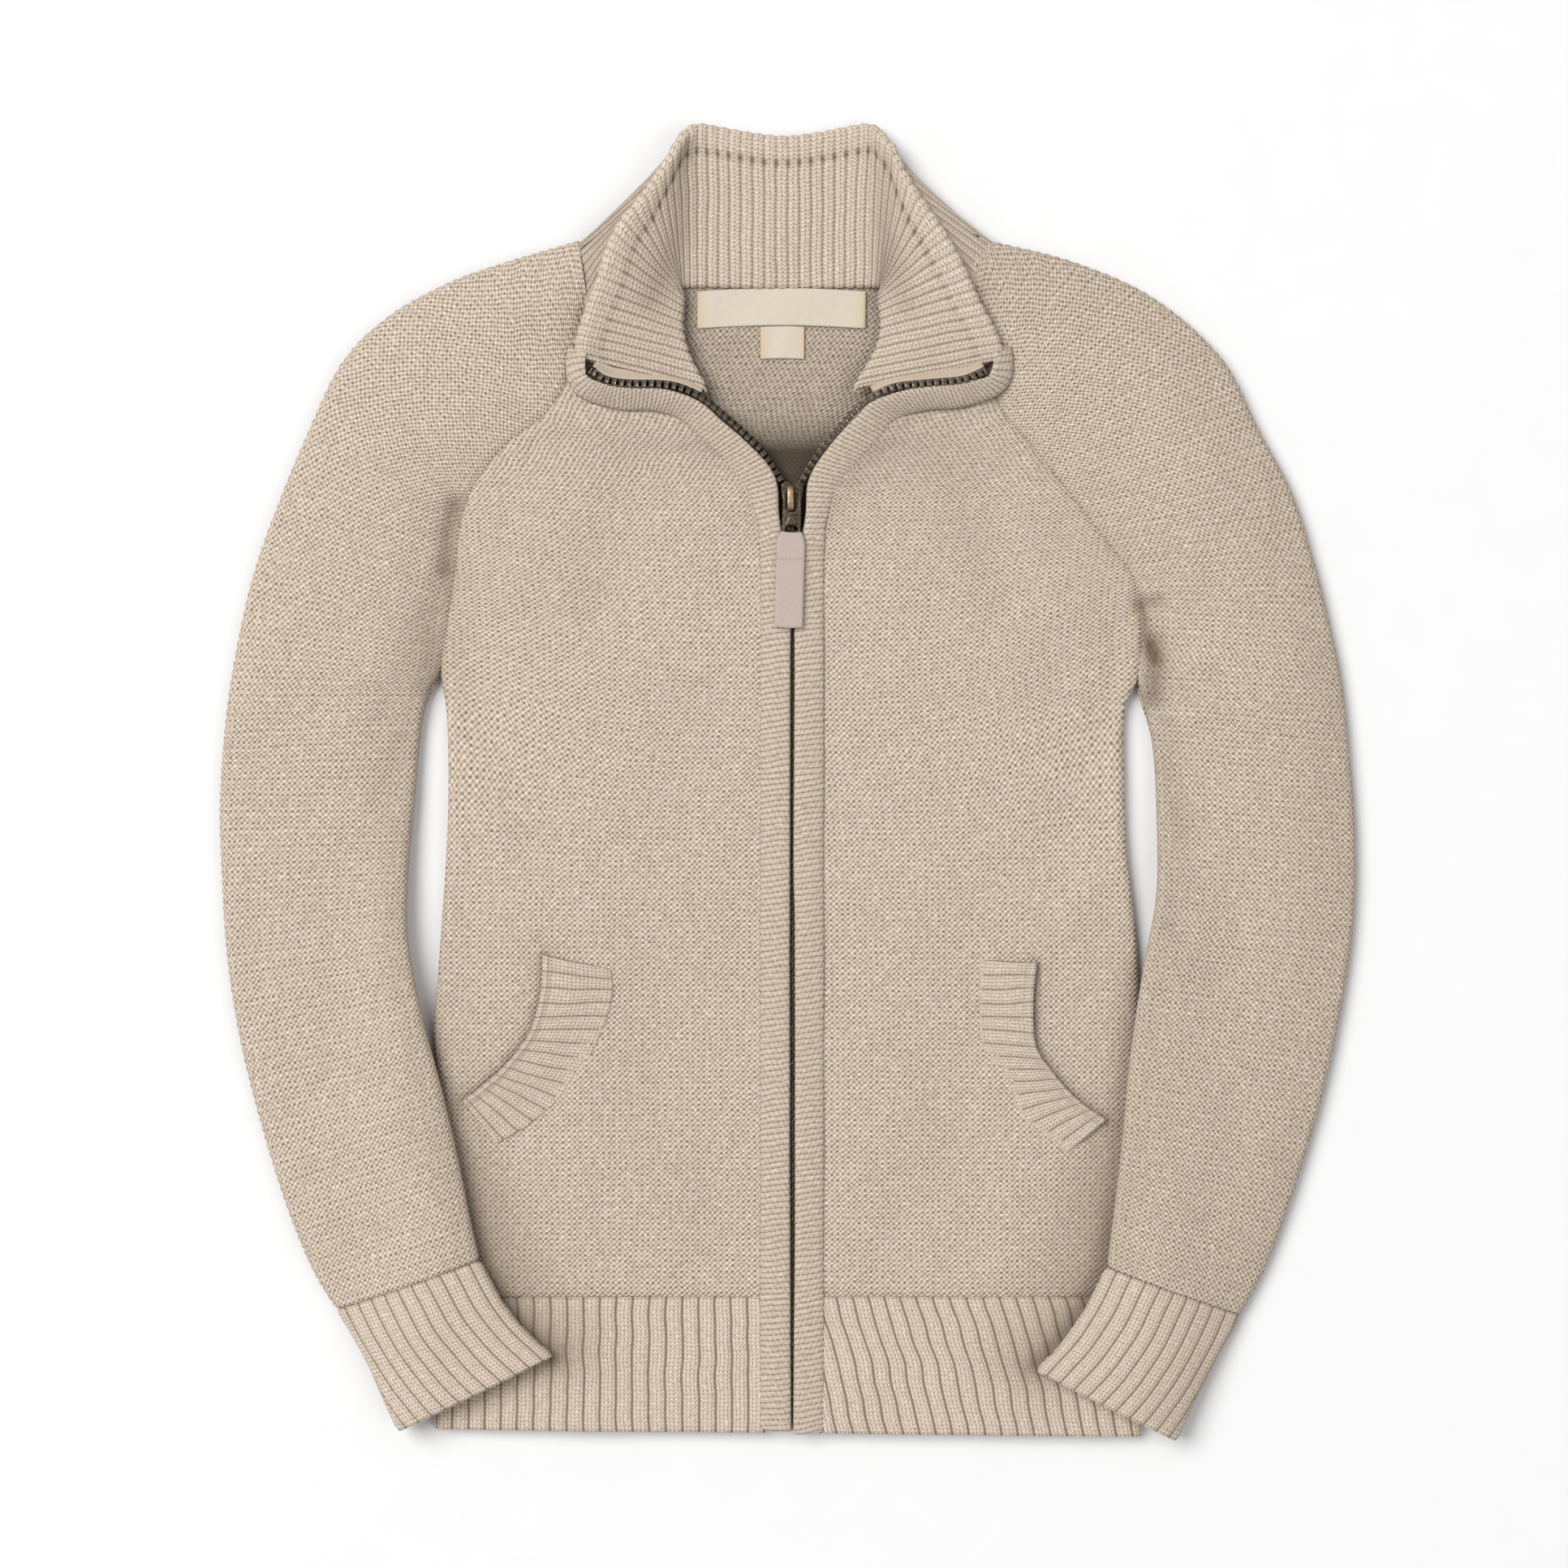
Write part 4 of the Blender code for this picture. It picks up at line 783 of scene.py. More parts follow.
def armSurface(side, keys, step, counts):
    # rows round an arm: front seam, top, outer fold, underside, underarm seam
    seam, fold, closing, width, heading, others, along = rowsFrom(keys, step)
    lap = np.clip(others[:, 0:1], 0, 1)
    radius, high = sleeve["height"] / 2, sleeve["height"]
    flat = width - 2 * radius
    edge = frontTop(seam[:, :1], seam[:, 1:]) * (1 - closing) + high * closing
    turn = np.linspace(0, math.pi / 2, 7)[1:]
    upReach, upZ = rollEdge(turn, radius, closing, edge, radius)
    downReach, downZ = rollEdge(turn, radius, closing, 0.0, radius)
    top, under = np.linspace(0, 1, counts[0]), np.linspace(1, 0, counts[1])
    bend = np.linspace(math.pi / 2, -math.pi / 2, 12)[1:-1]
    crown = sleeve["crown"] * np.sin(np.pi * top) ** 0.8
    whole = np.ones((len(seam), 1))
    place = np.hstack([(radius - upReach)[:, ::-1], radius + top * flat,
                       width - radius + radius * np.cos(bend), radius + under * flat,
                       radius - downReach])
    z = np.hstack([upZ[:, ::-1], edge + (high - edge) * top + crown,
                   whole * (radius + radius * np.sin(bend)), whole * under * 0, downZ])
    x, y = spotsAt(seam, heading, place)
    inside = side * (sideAt(side, y) - x)
    z = z + lap * (frontTop(x, y) + sleeve["rise"]) * ease((inside + 42) / 43)
    count = 6 + counts[0]
    soft = waves(x, y, 31 + side, sleeve["unevenness"], 22, 70) + folds(x, y, sleeveFolds[side])
    soft = soft * ramp(place, 9) * ramp(width - place, 9)
    soft[:, count:] = 0
    return np.dstack([x, y, z + soft]), along[:, None], place, width, closing


def armKeys(side, table):
    return [(sx, sy, fx, fy, 1.0, lap) for fx, fy, sx, sy, lap in table[side]]


for side, name in sides:
    keys = [(sx - side * 0.5, sy, fx, fy, 0.0, 0.0)
            for sx, sy, fx, fy, ix, iy in raglan[side][::-1]]
    keys[-1] = (*keys[-1][:4], 0.5, 0.0)
    sx, sy, fx, fy, *others = keys[0]
    keys[0] = (sx - side * 2.2, sy + 1.6, fx - side * 9.0, fy + 2.6 - side * 1.2, *others)
    keys += armKeys(side, sleeveRows)
    points, along, place, width, closing = armSurface(side, keys, sleeve["step"],
                                                      sleeve["columns"])
    across = pathOver(points)
    x, y = points[..., 0], points[..., 1]
    onTop = np.arange(across.shape[1]) < sleeve["shaded"]
    seamDip = near(place, 2.0) * (1 - closing) * onTop
    hollow = hollowAt(side, x, y) * onTop
    relief = sleeve["ridge"] * np.sin(2 * np.pi * along / sleeve["ridgePitch"])
    relief = (relief * np.clip(place / 3, 0.25, 1) - body["seamDip"] * seamDip
              - 0.7 * near(along[-1] - along, 1.3) - sleeve["hollow"] * hollow)
    courses = along * sleeve["coursesPerRidge"] * yarn["rowHigh"] / sleeve["ridgePitch"]
    # painted shade: along the seam, in the underarm hollows and fold troughs, and at the edges, the
    # right sleeve's outer edge darkest as it turns from the light
    edges = (sleeve["farShade"][side] * near(width - place, 24)
             + sleeve["nearShade"][side] * near(place - 3.5, 7.5) * closing)
    creases = 0.09 * np.clip(-folds(x, y, sleeveFolds[side]), 0, 3) * onTop
    piece = knitPiece("sleeve" + name.capitalize(), points, across, courses, bodyKnit,
                      turned=side > 0, relief=relief,
                      paintedShadeAndStitches=0.25 * seamDip ** 2 + 0.75 * hollow + edges + creases)
    declareCloth(piece, ["sleeve_" + name], "knit")

    points, along, place, width, closing = armSurface(side, armKeys(side, cuffRows),
                                                      cuff["step"], cuff["faceColumns"])
    across = pathOver(points)
    wander = cuff["wander"] * waves(across, along * 3, 41, 1.0)
    groove = ribValley((across + wander) / cuff["rib"], cuff["rib"], cuff["groove"])
    # painted shade at the cuff's edges, between its ribs and along its seam with the sleeve
    edges = (sleeve["farShade"][side] * near(width - place, 16)
             + 0.3 * sleeve["nearShade"][side] * near(place, 5))
    relief = (0.5 * (0.5 - groove * 1.2) - 0.6 * near(along, 1.4)
              - 0.6 * near(along[-1] - along, 1.3))
    piece = knitPiece("cuff" + name.capitalize(), points, across + wander, along, cuffKnit,
                      turned=side > 0, relief=relief,
                      paintedShadeAndStitches=groove * 0.2 + edges + 0.15 * near(along, 0.9))
    declareCloth(piece, ["cuff_" + name], "rib")
print("sleeves and cuffs made")


collar = {
    "rim": 2.6,
    "rib": 4.3,
    "columns": 2,
    "stitchHigh": 1.5,
    "tone": 0.90,
    "between": 0.58,
    "groove": 0.8,
    "ribDepth": 0.5,
    "unevenness": 0.6,
    "foldLine": 7.8,            # the tubular edge ends in a dotted line this far from the rim
    "tubeBulge": 0.5,
    "neckRoll": 2.4,            # the inner layer's edge turns down into the neck
    "soften": (0.9, 16),        # how far, and over how many steps, the inner layer is evened out
    "step": 0.5,
    "outerRows": 12,
    "rimRows": 12,
    "innerRows": 43,
}
collarKnit = plainKnit("oatmealCollarRib", collar)
# round the neck from left to right: the top edge x, y, z; the angle the cloth turns through
# there; the inner layer's neck edge x, y, z; the outer layer's seam x, y, z
collarRows = [
    (-77.5, 156, 10.4, 180, -30.5, 145.2, 12.6, -30, 140.5, 7.5),
    (-78, 162, 10.7, 180, -35, 152, 12.4, -41, 146.5, 7.5),
    (-76, 169.5, 11.2, 180, -39.2, 160, 11.8, -52, 155.5, 7.5),
    (-73, 178, 11.9, 170, -41, 167.8, 11, -66, 169.5, 7.5),
    (-69.5, 187, 12.8, 150, -40.4, 175, 10, -74.2, 175.5, 7.3),
    (-67, 195.5, 12.8, 125, -39.4, 180, 9, -76.2, 180, 7),
    (-61.5, 207, 12.3, 115, -39.2, 183, 8, -79, 186.2, 6.8),
    (-53.5, 217, 11.5, 112, -39.4, 184.2, 7.4, -81.8, 192, 6.8),
    (-46.5, 227.5, 10.6, 118, -39.4, 185, 7, -76.5, 199.2, 6.2),
    (-41.5, 236.5, 8.6, 140, -39.2, 185.5, 6.6, -66.5, 203.6, 3.4),
    (-39, 240.6, 6.2, 160, -38.4, 185.7, 6.2, -60, 196, 0.4),
    (-36, 243.2, 4.4, 176, -36.6, 185.7, 5.8, -56, 182.4, 0),
    (-32, 244.2, 3.4, 180, -33, 185.5, 5.6, -48, 183.4, 0),
    (-26, 243.4, 2.7, 180, -26.5, 185.1, 5.4, -38, 184.2, 0),
    (-14, 241.2, 2.6, 180, -14.5, 184.8, 5.4, -16, 184.2, 0),
    (-1, 239.8, 2.6, 180, -1, 184.7, 5.4, -1, 184, 0),
    (12, 241.2, 2.6, 180, 12.5, 184.8, 5.4, 14, 184.2, 0),
    (24.5, 243.6, 2.7, 180, 24, 185.1, 5.4, 35, 184.2, 0),
    (30.5, 244.2, 3.4, 180, 30, 185.5, 5.6, 44, 183.4, 0),
    (34.2, 242.6, 4.4, 176, 33, 185.7, 5.8, 51, 182.2, 0),
    (37.2, 239, 6.2, 160, 34.4, 185.7, 6.2, 54.5, 196, 0.4),
    (40.6, 234.4, 8.6, 140, 35, 185.5, 6.6, 63, 205.8, 3.4),
    (44.5, 225, 10.6, 118, 35.2, 185, 7, 73, 202.2, 6.2),
    (51, 214.5, 11.5, 112, 35.4, 184.2, 7.4, 79.4, 195, 6.8),
    (58, 204, 12.3, 115, 35.4, 183, 8, 78.2, 188, 6.8),
    (64, 193.5, 12.8, 125, 35.6, 180, 9, 74.6, 180.5, 7),
    (68, 185, 12.8, 150, 36.6, 175, 10, 69, 174, 7.3),
    (72, 176.5, 11.9, 170, 38, 167.8, 11, 61.5, 168.5, 7.5),
    (76.5, 168.5, 11.2, 180, 36, 160, 11.8, 51, 155.5, 7.5),
    (79.5, 161.5, 10.7, 180, 30.5, 152, 12.4, 41.5, 146.5, 7.5),
    (80.5, 156, 10.4, 180, 26, 145.4, 12.6, 31, 140, 7.5)]


def collarSurface():
    rows, along = throughRows(collarRows, collar["step"], along=(0, 1, 4, 5))
    top, sweep = rows[:, 0:3], np.radians(rows[:, 3:4])
    heading = np.gradient(top[:, :2], axis=0)
    outward = unit(np.stack([-heading[:, 1], heading[:, 0]], axis=1))
    centre = top[:, :2] - outward * collar["rim"]
    angle = sweep * np.linspace(1, 0, collar["rimRows"])
    out, up = collar["rim"] * np.sin(angle), collar["rim"] * np.cos(angle)
    arc = np.dstack([centre[:, None] + outward[:, None] * out[..., None], top[:, 2:3] + up])
    base, neck = rows[:, None, 7:10], rows[:, None, 4:7]
    lower = np.linspace(0, 1, collar["outerRows"] + 1)[None, :-1, None]
    upper = np.linspace(0, 1, collar["innerRows"] + 1)[None, 1:, None]
    inward = unit(neck[:, 0, :2] - arc[:, -1, :2])
    turn = np.radians(np.linspace(0, 105, 7)[1:])[None, :]
    size = np.clip((neck[:, 0, 2:] - 3.2) / 1.3, 0.6, collar["neckRoll"])
    roll = np.dstack([neck[..., :2] + inward[:, None] * (size * np.sin(turn))[..., None],
                      neck[..., 2] - size * (1 - np.cos(turn))])
    points = np.concatenate([base + (arc[:, :1] - base) * lower, arc,
                             arc[:, -1:] + (neck - arc[:, -1:]) * upper, roll], axis=1)
    return points, along


def softenAlong(points, amount, width):
    # blurs a grid along its rows where amount is above 0
    reach = int(width * 3)
    weights = np.exp(-0.5 * (np.arange(-reach, reach + 1) / width) ** 2)
    weights /= weights.sum()
    padded = np.concatenate([2 * points[:1] - points[reach:0:-1], points,
                             2 * points[-1:] - points[-2:-reach - 2:-1]])
    blurred = sum(w * padded[k:k + len(points)] for k, w in enumerate(weights))
    return points + (blurred - points) * amount


points, along = collarSurface()
rimEnd = collar["outerRows"] + collar["rimRows"] - 1     # the rim's last row, where down is 0
inwards = ease((np.arange(points.shape[1]) - rimEnd - 3) / 14)[None, :, None]
amount, reach = collar["soften"]
points = softenAlong(points, amount * inwards, reach)
x, y = points[..., 0], points[..., 1]
along = along[:, None]
down = pathOver(points)
down = down - down[:, rimEnd:rimEnd + 1]
length = down[:, -1:]
phase = along / collar["rib"] + 0.5 + 0.05 * waves(along, down, 51, 1.0, 9, 30)
groove = ribValley(phase, collar["rib"], collar["groove"])
onBack = (ease((70 - np.abs(x[:, rimEnd:rimEnd + 1])) / 25)
          * ease((y[:, rimEnd:rimEnd + 1] - 170) / 40))
dots = near(down - collar["foldLine"], 1.3) * (0.34 + 0.56 * onBack)
tube = np.sin(np.pi * ramp(down + 4, collar["foldLine"] + 4)) * (0.45 + 0.55 * onBack)
tubeOnly = 0.85 * ease((down + 9) / 4) * ease((collar["foldLine"] - down) / 2)
soft = ease(down / 6) * ramp(length - down, 8)
fromEnd = np.minimum(along, along[-1] - along)
relief = (collar["ribDepth"] * (0.4 - groove) - 0.55 * dots + collar["tubeBulge"] * tube
          + soft * waves(x, y, 53, collar["unevenness"], 24, 60)
          - 1.2 * near(fromEnd, 1.8) * (down > -4))
# painted shade in the corners where the flaps meet the back, over the left flap more than the
# right, and a little towards the neck edge
corner = 0.06 * ease((down - length + 6) / 6) + (down > 2) * (
    0.30 * nearLine(x, y, [(-38, 236), (-39, 205), (-50, 178)], 5)
    + 0.24 * nearLine(x, y, [(35, 234), (36, 205), (44, 176)], 5)
    + 0.17 * ease((-x - 32) / 14) + 0.05 * ease((x - 32) / 14))
# painted shade: between the ribs off the tube, along the dotted line at the fold, and in the
# corners
paintedShadeAndStitches = groove * 0.2 * (1 - tubeOnly) + 1.5 * dots * (0.12 + 0.88 * groove) + corner
collarPiece = knitPiece("collarRib", points, phase * collar["rib"], down, collarKnit,
                        relief=relief, shade=tubeOnly, paintedShadeAndStitches=paintedShadeAndStitches, wall=2.4)
declareCloth(collarPiece, ["collar"], "rib")
print("collar made")


zipper = {
    "pitch": 2.75,
    "tooth": (2.1, 2.5, 1.5),   # along the zip, across it, high
    "grip": (0.9, 0.3),         # width of a tooth's foot on the tape, and how much higher it is
    "tapeWide": 9.0,
    "showing": 4.2,             # tape beside the open teeth, its far edge tucked under the collar
    "closedZ": 5.0,
    "end": -237.0,
    "closedSpread": 0.75,       # from the middle to each side's line of closed teeth
    "alternate": 1.5,           # how far the right side's closed teeth are moved between them
    "brass": ((0.090, 0.071, 0.055), (0.20, 0.16, 0.12)),
    "tape": ((0.53, 0.44, 0.35), (0.36, 0.29, 0.22)),
    "tapeWeave": (0.5, 0.0001),         # pitch, bump
}
brass = agedMetal("antiqueBrass", *zipper["brass"])
tapeWeave = wovenMaterial("zipTapeWeave", *zipper["tape"], *zipper["tapeWeave"])
zipRows = {
    -1: [(-0.6, 109.6, 5.6), (-3.4, 113.6, 6.2), (-9, 121.8, 8.4), (-15.9, 128.7, 10),
         (-24, 135.8, 11.6), (-32, 142, 12.8), (-39.5, 145.2, 13.4), (-47, 146.4, 13.6),
         (-58, 146.6, 13.6), (-66.5, 148, 13.6), (-72.4, 151.6, 13.6)],
    1: [(4.9, 109.6, 5.6), (7.2, 113.6, 6.2), (12.4, 121.8, 8.4), (19.4, 130.4, 10),
        (26.2, 137.8, 11.6), (32.5, 142.2, 12.8), (40.5, 145.4, 13.4), (52.8, 146.8, 13.6),
        (65, 148, 13.6), (73.4, 151.4, 13.6)],
}


def addBlock(bm, centre, axes, size, bevel, segments=2):
    # a rounded block on three axes, joined into a mesh being built
    made = bmesh.ops.create_cube(bm, size=1.0)["verts"]
    for vert in made:
        shift = sum((axis * vert.co[k] * size[k] for k, axis in enumerate(axes)), Vector())
        vert.co = (Vector(centre) + shift) * mm
    edges = list({edge for vert in made for edge in vert.link_edges})
    bmesh.ops.bevel(bm, geom=edges, offset=bevel * mm, segments=segments, profile=0.6,
                     affect="EDGES")


def objectFrom(bm, name, finish):
    mesh = bpy.data.meshes.new(name)
    bmesh.ops.recalc_face_normals(bm, faces=bm.faces)
    bm.to_mesh(mesh)
    bm.free()
    mesh.shade_smooth()
    mesh.materials.append(finish)
    return placed(name, mesh)


def teethAlong(name, rows, side, shift=0.0, stop=False, segments=2):
    step = 0.25
    rows, along = throughRows(rows, step, along=(0, 1))
    long, wide, high = zipper["tooth"]
    gripWide, gripHigher = zipper["grip"]
    bm = bmesh.new()
    for at in np.arange(0.9 + shift, along[-1] - 0.7, zipper["pitch"]):
        i = int(at / step)
        ahead = Vector(rows[min(i + 2, len(rows) - 1)] - rows[max(i - 2, 0)]).normalized()
        sideways = Vector((-ahead.y, ahead.x, 0)).normalized()
        axes = (ahead, sideways, ahead.cross(sideways))
        addBlock(bm, rows[i], axes, (long, wide, high), 0.35, segments)
        grip = Vector(rows[i]) + sideways * side * (wide / 2 - 0.3)
        addBlock(bm, grip, axes, (long + 0.5, gripWide, high + gripHigher), 0.25, segments)
    if stop:
        addBlock(bm, rows[-2], axes, (1.4, 3.2, 2.0), 0.5)
    return objectFrom(bm, name, brass)


def tapeAlong(name, rows, side, close, wide, lift, sink=0.0):
    # woven tape beside a line of teeth, with a thicker cord along the teeth
    rows, along = throughRows(rows, 1.2, along=(0, 1))
    heading = np.gradient(rows, axis=0)
    sideways = unit(np.stack([-heading[:, 1], heading[:, 0], heading[:, 0] * 0], axis=1))
    places = np.linspace(close, close + wide, 9)
    points = rows[:, None] + sideways[:, None] * (side * places)[None, :, None]
    points[..., 2] += lift - sink * ease((places - close) / wide)
    cord = 0.35 * near(places - close - 0.5, 0.5)
    return knitPiece(name, points, places, along[:, None], tapeWeave, turned=side > 0,
                     relief=cord, wall=0.6)


for side, name in sides:
    level = zipper["closedZ"]
    middle = body["middle"] + side * zipper["closedSpread"]
    closed = [(middle, zipper["end"], level), (middle, -60, level), (middle, 98.6, level)]
    shift = zipper["alternate"] * (side > 0)
    upper, own = zipRows[side], name.capitalize()
    made = [
        (teethAlong("zipTeeth" + own, upper, side, stop=True), "brass", "zip_teeth_"),
        (teethAlong("zipTeethClosed" + own, closed, side, shift, segments=1), "brass",
         "zip_teeth_closed_"),
        (tapeAlong("zipTapeCollar" + own, upper[5:], side, 1.5, zipper["showing"], 0.1, 2.6),
         "zip_tape", "zip_tape_collar_"),
        (tapeAlong("zipTape" + own, [closed[0], (middle, 88.0, level)], side, 1.6,
                   zipper["tapeWide"], 0.3), "zip_tape", "zip_tape_"),
    ]
    for piece, slot, nodeName in made:
        standFor(piece, garment, slot, nodeName + name)
print("zip made")


band = {
    "bulge": 0.75,
    "cord": 1.47,               # pitch of the yarn's cords in the material
    "strand": 1.9,
    "bump": 0.0005,
    "tone": 0.88,
    "coursePitch": 1.5,
    "course": 0.2,
    "groove": 0.3,
    "lean": 0.10,
    "towardsTeeth": 1.4,        # how far a band's edge reaches over the tape to the teeth
    "sunk": 0.45,               # its other edge, into the front's knit
    "step": 0.45,
    "columns": 16,
}
bandKnit = acrossKnit("oatmealBand", band)
bandRows = {
    -1: [(1.9, -240, 8.4, -10, -239, 8), (1.5, -160, 8.6, -10, -160, 8),
         (1.4, -60, 8.6, -10, -60, 8), (1.6, 40, 8.6, -10, 40, 8), (1.6, 78, 8.6, -10, 78, 8),
         (-0.6, 89, 8.6, -10.4, 88, 8), (-2.3, 97, 8.8, -11, 96, 8),
         (-3.8, 108.5, 9.2, -14.8, 107, 8.2), (-8, 116.6, 10.2, -19, 113, 8.2),
         (-16, 125, 11.2, -25.5, 120.5, 8.4), (-25.1, 132.6, 12.4, -33, 127.6, 8.7),
         (-33.2, 139.4, 13.4, -39.5, 133.6, 8.9), (-47, 143.9, 14.2, -50, 137, 9),
         (-60, 144.4, 14.4, -62, 137.2, 9.2), (-70, 146.6, 14, -75.5, 141.3, 9.4),
         (-73.2, 149.6, 13.9, -80.8, 147.2, 9.6), (-74.2, 154, 13.9, -82, 155, 9.8),
         (-73.4, 159, 13.4, -81.2, 160.5, 9.8)],
    1: [(2.4, -241, 8.4, 14.2, -240, 8), (2.5, -222, 8.5, 14.2, -222, 8),
        (3, -160, 8.6, 14.2, -160, 8), (3, -60, 8.6, 14.2, -60, 8), (2.5, -28, 8.6, 14.2, -28, 8),
        (2.9, 40, 8.6, 14.2, 40, 8), (2.8, 78, 8.6, 14.2, 78, 8), (5, 89, 8.6, 14.6, 88, 8),
        (6.7, 97, 8.8, 15.2, 96, 8), (8.2, 108.5, 9.2, 18.4, 106.5, 8.2),
        (12.2, 116.8, 10.2, 23, 113, 8.2), (19.4, 126.2, 11.2, 29.5, 120.5, 8.4),
        (27.4, 134.4, 12.6, 36, 127.8, 8.7), (33.5, 139.8, 13.6, 41, 133.8, 8.9),
        (48, 143.9, 14.2, 52, 137, 9), (62, 145.2, 14.4, 64.5, 138.2, 9.2),
        (72, 148.1, 14, 77.5, 142.5, 9.4), (75.2, 151, 13.9, 82.8, 148, 9.6),
        (76.3, 155.2, 13.9, 84, 155.6, 9.8), (75.6, 159.6, 13.4, 83.4, 161, 9.8)],
}

for side, name in sides:
    rows, along = throughRows(bandRows[side], band["step"])
    share = np.linspace(0, 1, band["columns"])[None, :]
    teeth, panel = rows[:, 0:3].copy(), rows[:, 3:6].copy()
    panel[:, 2] -= band["sunk"]
    apart = ease((rows[:, 1:2] - 100) / 16) * ease((150 - rows[:, 1:2]) / 4)
    teeth[:, :2] += unit((teeth - panel)[:, :2]) * band["towardsTeeth"] * apart
    points = panel[:, None] + (teeth - panel)[:, None] * share[..., None]
    points[..., 2] += band["bulge"] * np.sin(np.pi * share) ** 0.7
    across = pathOver(points)
    course = (along[:, None] + band["lean"] * across * side) / band["coursePitch"]
    groove = ribValley(course, band["coursePitch"], band["groove"])
    edges = near(across, 1.0) + near(across[:, -1:] - across, 1.0)
    relief = (band["course"] * (0.5 - groove) - 0.45 * edges
              + 0.2 * waves(across * 3, along[:, None], 61 + side, 1.0, 20, 60))
    # painted shade in the sunk lines between the courses
    piece = knitPiece("band" + name.capitalize(), points, across, (course + 0.5) * band["cord"],
                      bandKnit, turned=side > 0, relief=relief, paintedShadeAndStitches=groove * 0.3, wall=2.3)
    declareCloth(piece, ["band_" + name], "rib")
print("bands made")


trim = {
    "rib": 5.2,
    "columns": 4,
    "stitchHigh": 1.5,
    "tone": 0.91,
    "between": 0.34,
    "groove": 0.75,
    "bead": 3.0,                # the rolled edge along the pocket's mouth ends here
    "raised": (2.1, 0.35),      # above the front, at the mouth and at the sewn edge
    "wall": 1.8,
    "step": 0.6,
    "meshColumns": 38,
}
trimKnit = plainKnit("oatmealTrim", trim, swap=True)

for side, name in sides:
    rows, along = throughRows(trimRows[side], trim["step"])
    share = np.linspace(0, 1, trim["meshColumns"])[None, :]
    mouth, sewn = rows[:, None, 0:2], rows[:, None, 2:4]
    spots = mouth + (sewn - mouth) * share[..., None]
    high, low = trim["raised"]
    raised = high - (high - low) * ease((share - 0.3) / 0.6)
    points = np.dstack([spots, frontTop(spots[..., 0], spots[..., 1]) + raised])
    across = pathOver(points)
    phase = along[:, None] / trim["rib"] + 0.05 * waves(across, along[:, None], 71, 1.0, 9, 30)
    ribs = (ribValley(phase, trim["rib"], trim["groove"])
            * ease((across - trim["bead"]) / 1.5))
    lineDip = near(across - trim["bead"], 0.5)
    relief = (0.45 * (0.3 - ribs) + 0.7 * near(across - 1.4, 1.3) - 0.35 * lineDip
              - 0.35 * near(across[:, -1:] - across, 1.6))
    # painted shade between the ribs and along the sunk line behind the bead
    piece = knitPiece("pocketTrim" + name.capitalize(), points, across, phase * trim["rib"],
                      trimKnit, turned=side < 0, relief=relief, paintedShadeAndStitches=ribs * 0.15 + 0.3 * lineDip,
                      wall=trim["wall"])
    declareCloth(piece, ["pocket_trim_" + name], "rib")
print("pocket trims made")


slider = {
    # half widths from the tail to the nose
    "outline": [(99.0, 2.9), (99.6, 3.2), (102.0, 3.35), (104.5, 3.6), (106.5, 3.95), (108.6, 4.1),
                (109.9, 3.95), (110.8, 3.4), (111.3, 2.5), (111.4, 1.6), (110.9, 0.7),
                (110.2, 0.0)],
    "plates": ((3.9, 1.1), (7.1, 1.2)),     # middle height and thickness
    "bridge": [(100.5, 7.2), (100.5, 8.9), (100.9, 9.9), (101.9, 10.5), (104.0, 10.8),
               (106.6, 10.8), (108.4, 10.4), (109.3, 9.6), (109.5, 8.6), (109.5, 7.2)],
    "bridgeMiddle": 1.5,
    "bridgeWide": 2.4,
    "bridgeThick": 0.9,
    # middle, size and bevel of the post between the plates and of the two flanks on top
    "blocks": (((2.2, 109.0, 5.5), (1.6, 2.6, 3.4), 0.3),
               ((-0.8, 101.8, 7.6), (0.6, 5.2, 0.7), 0.2),
               ((5.2, 101.8, 7.6), (0.6, 5.2, 0.7), 0.2)),
    "dark": ((0.050, 0.040, 0.030), (0.115, 0.090, 0.062)),
    "worn": ((0.26, 0.18, 0.11), (0.48, 0.35, 0.22)),
}
darkBrass = agedMetal("darkBrass", *slider["dark"])
wornBrass = agedMetal("wornBrass", *slider["worn"])
uprightAxes = (Vector((1, 0, 0)), Vector((0, 1, 0)), Vector((0, 0, 1)))


def plateFrom(name, outlines, thick, bevel, finish):
    # a flat plate with holes and rounded edges, its middle at z 0
    curve = bpy.data.curves.new(name, "CURVE")
    curve.dimensions = "2D"
    curve.fill_mode = "BOTH"
    curve.extrude = (thick / 2 - bevel) * mm
    curve.bevel_depth = bevel * mm
    curve.bevel_resolution = 2
    curve.offset = -bevel * mm
    for outline in outlines:
        spline = curve.splines.new("POLY")
        spline.points.add(len(outline) - 1)
        for point, (x, y) in zip(spline.points, outline):
            point.co = (x * mm, y * mm, 0, 1)
        spline.use_cyclic_u = True
    drawn = placed(name, curve)
    bpy.context.view_layer.update()
    shape = drawn.evaluated_get(bpy.context.evaluated_depsgraph_get())
    mesh = bpy.data.meshes.new_from_object(shape)
    bpy.data.objects.remove(drawn)
    mesh.shade_smooth()
    mesh.set_sharp_from_angle(angle=math.radians(24))
    mesh.materials.clear()
    mesh.materials.append(finish)
    return placed(name, mesh)


def rounded(left, low, right, high, radii, steps=6):
    # a rectangle with its own radius at each corner, anticlockwise from the lower left
    corners = ((left, low, 1, 1, 180), (right, low, -1, 1, 270), (right, high, -1, -1, 0),
               (left, high, 1, -1, 90))
    outline = []
    for (x, y, inX, inY, start), radius in zip(corners, radii):
        for turn in np.radians(np.linspace(start, start + 90, steps)):
            outline.append((x + inX * radius + radius * math.cos(turn),
                            y + inY * radius + radius * math.sin(turn)))
    return outline


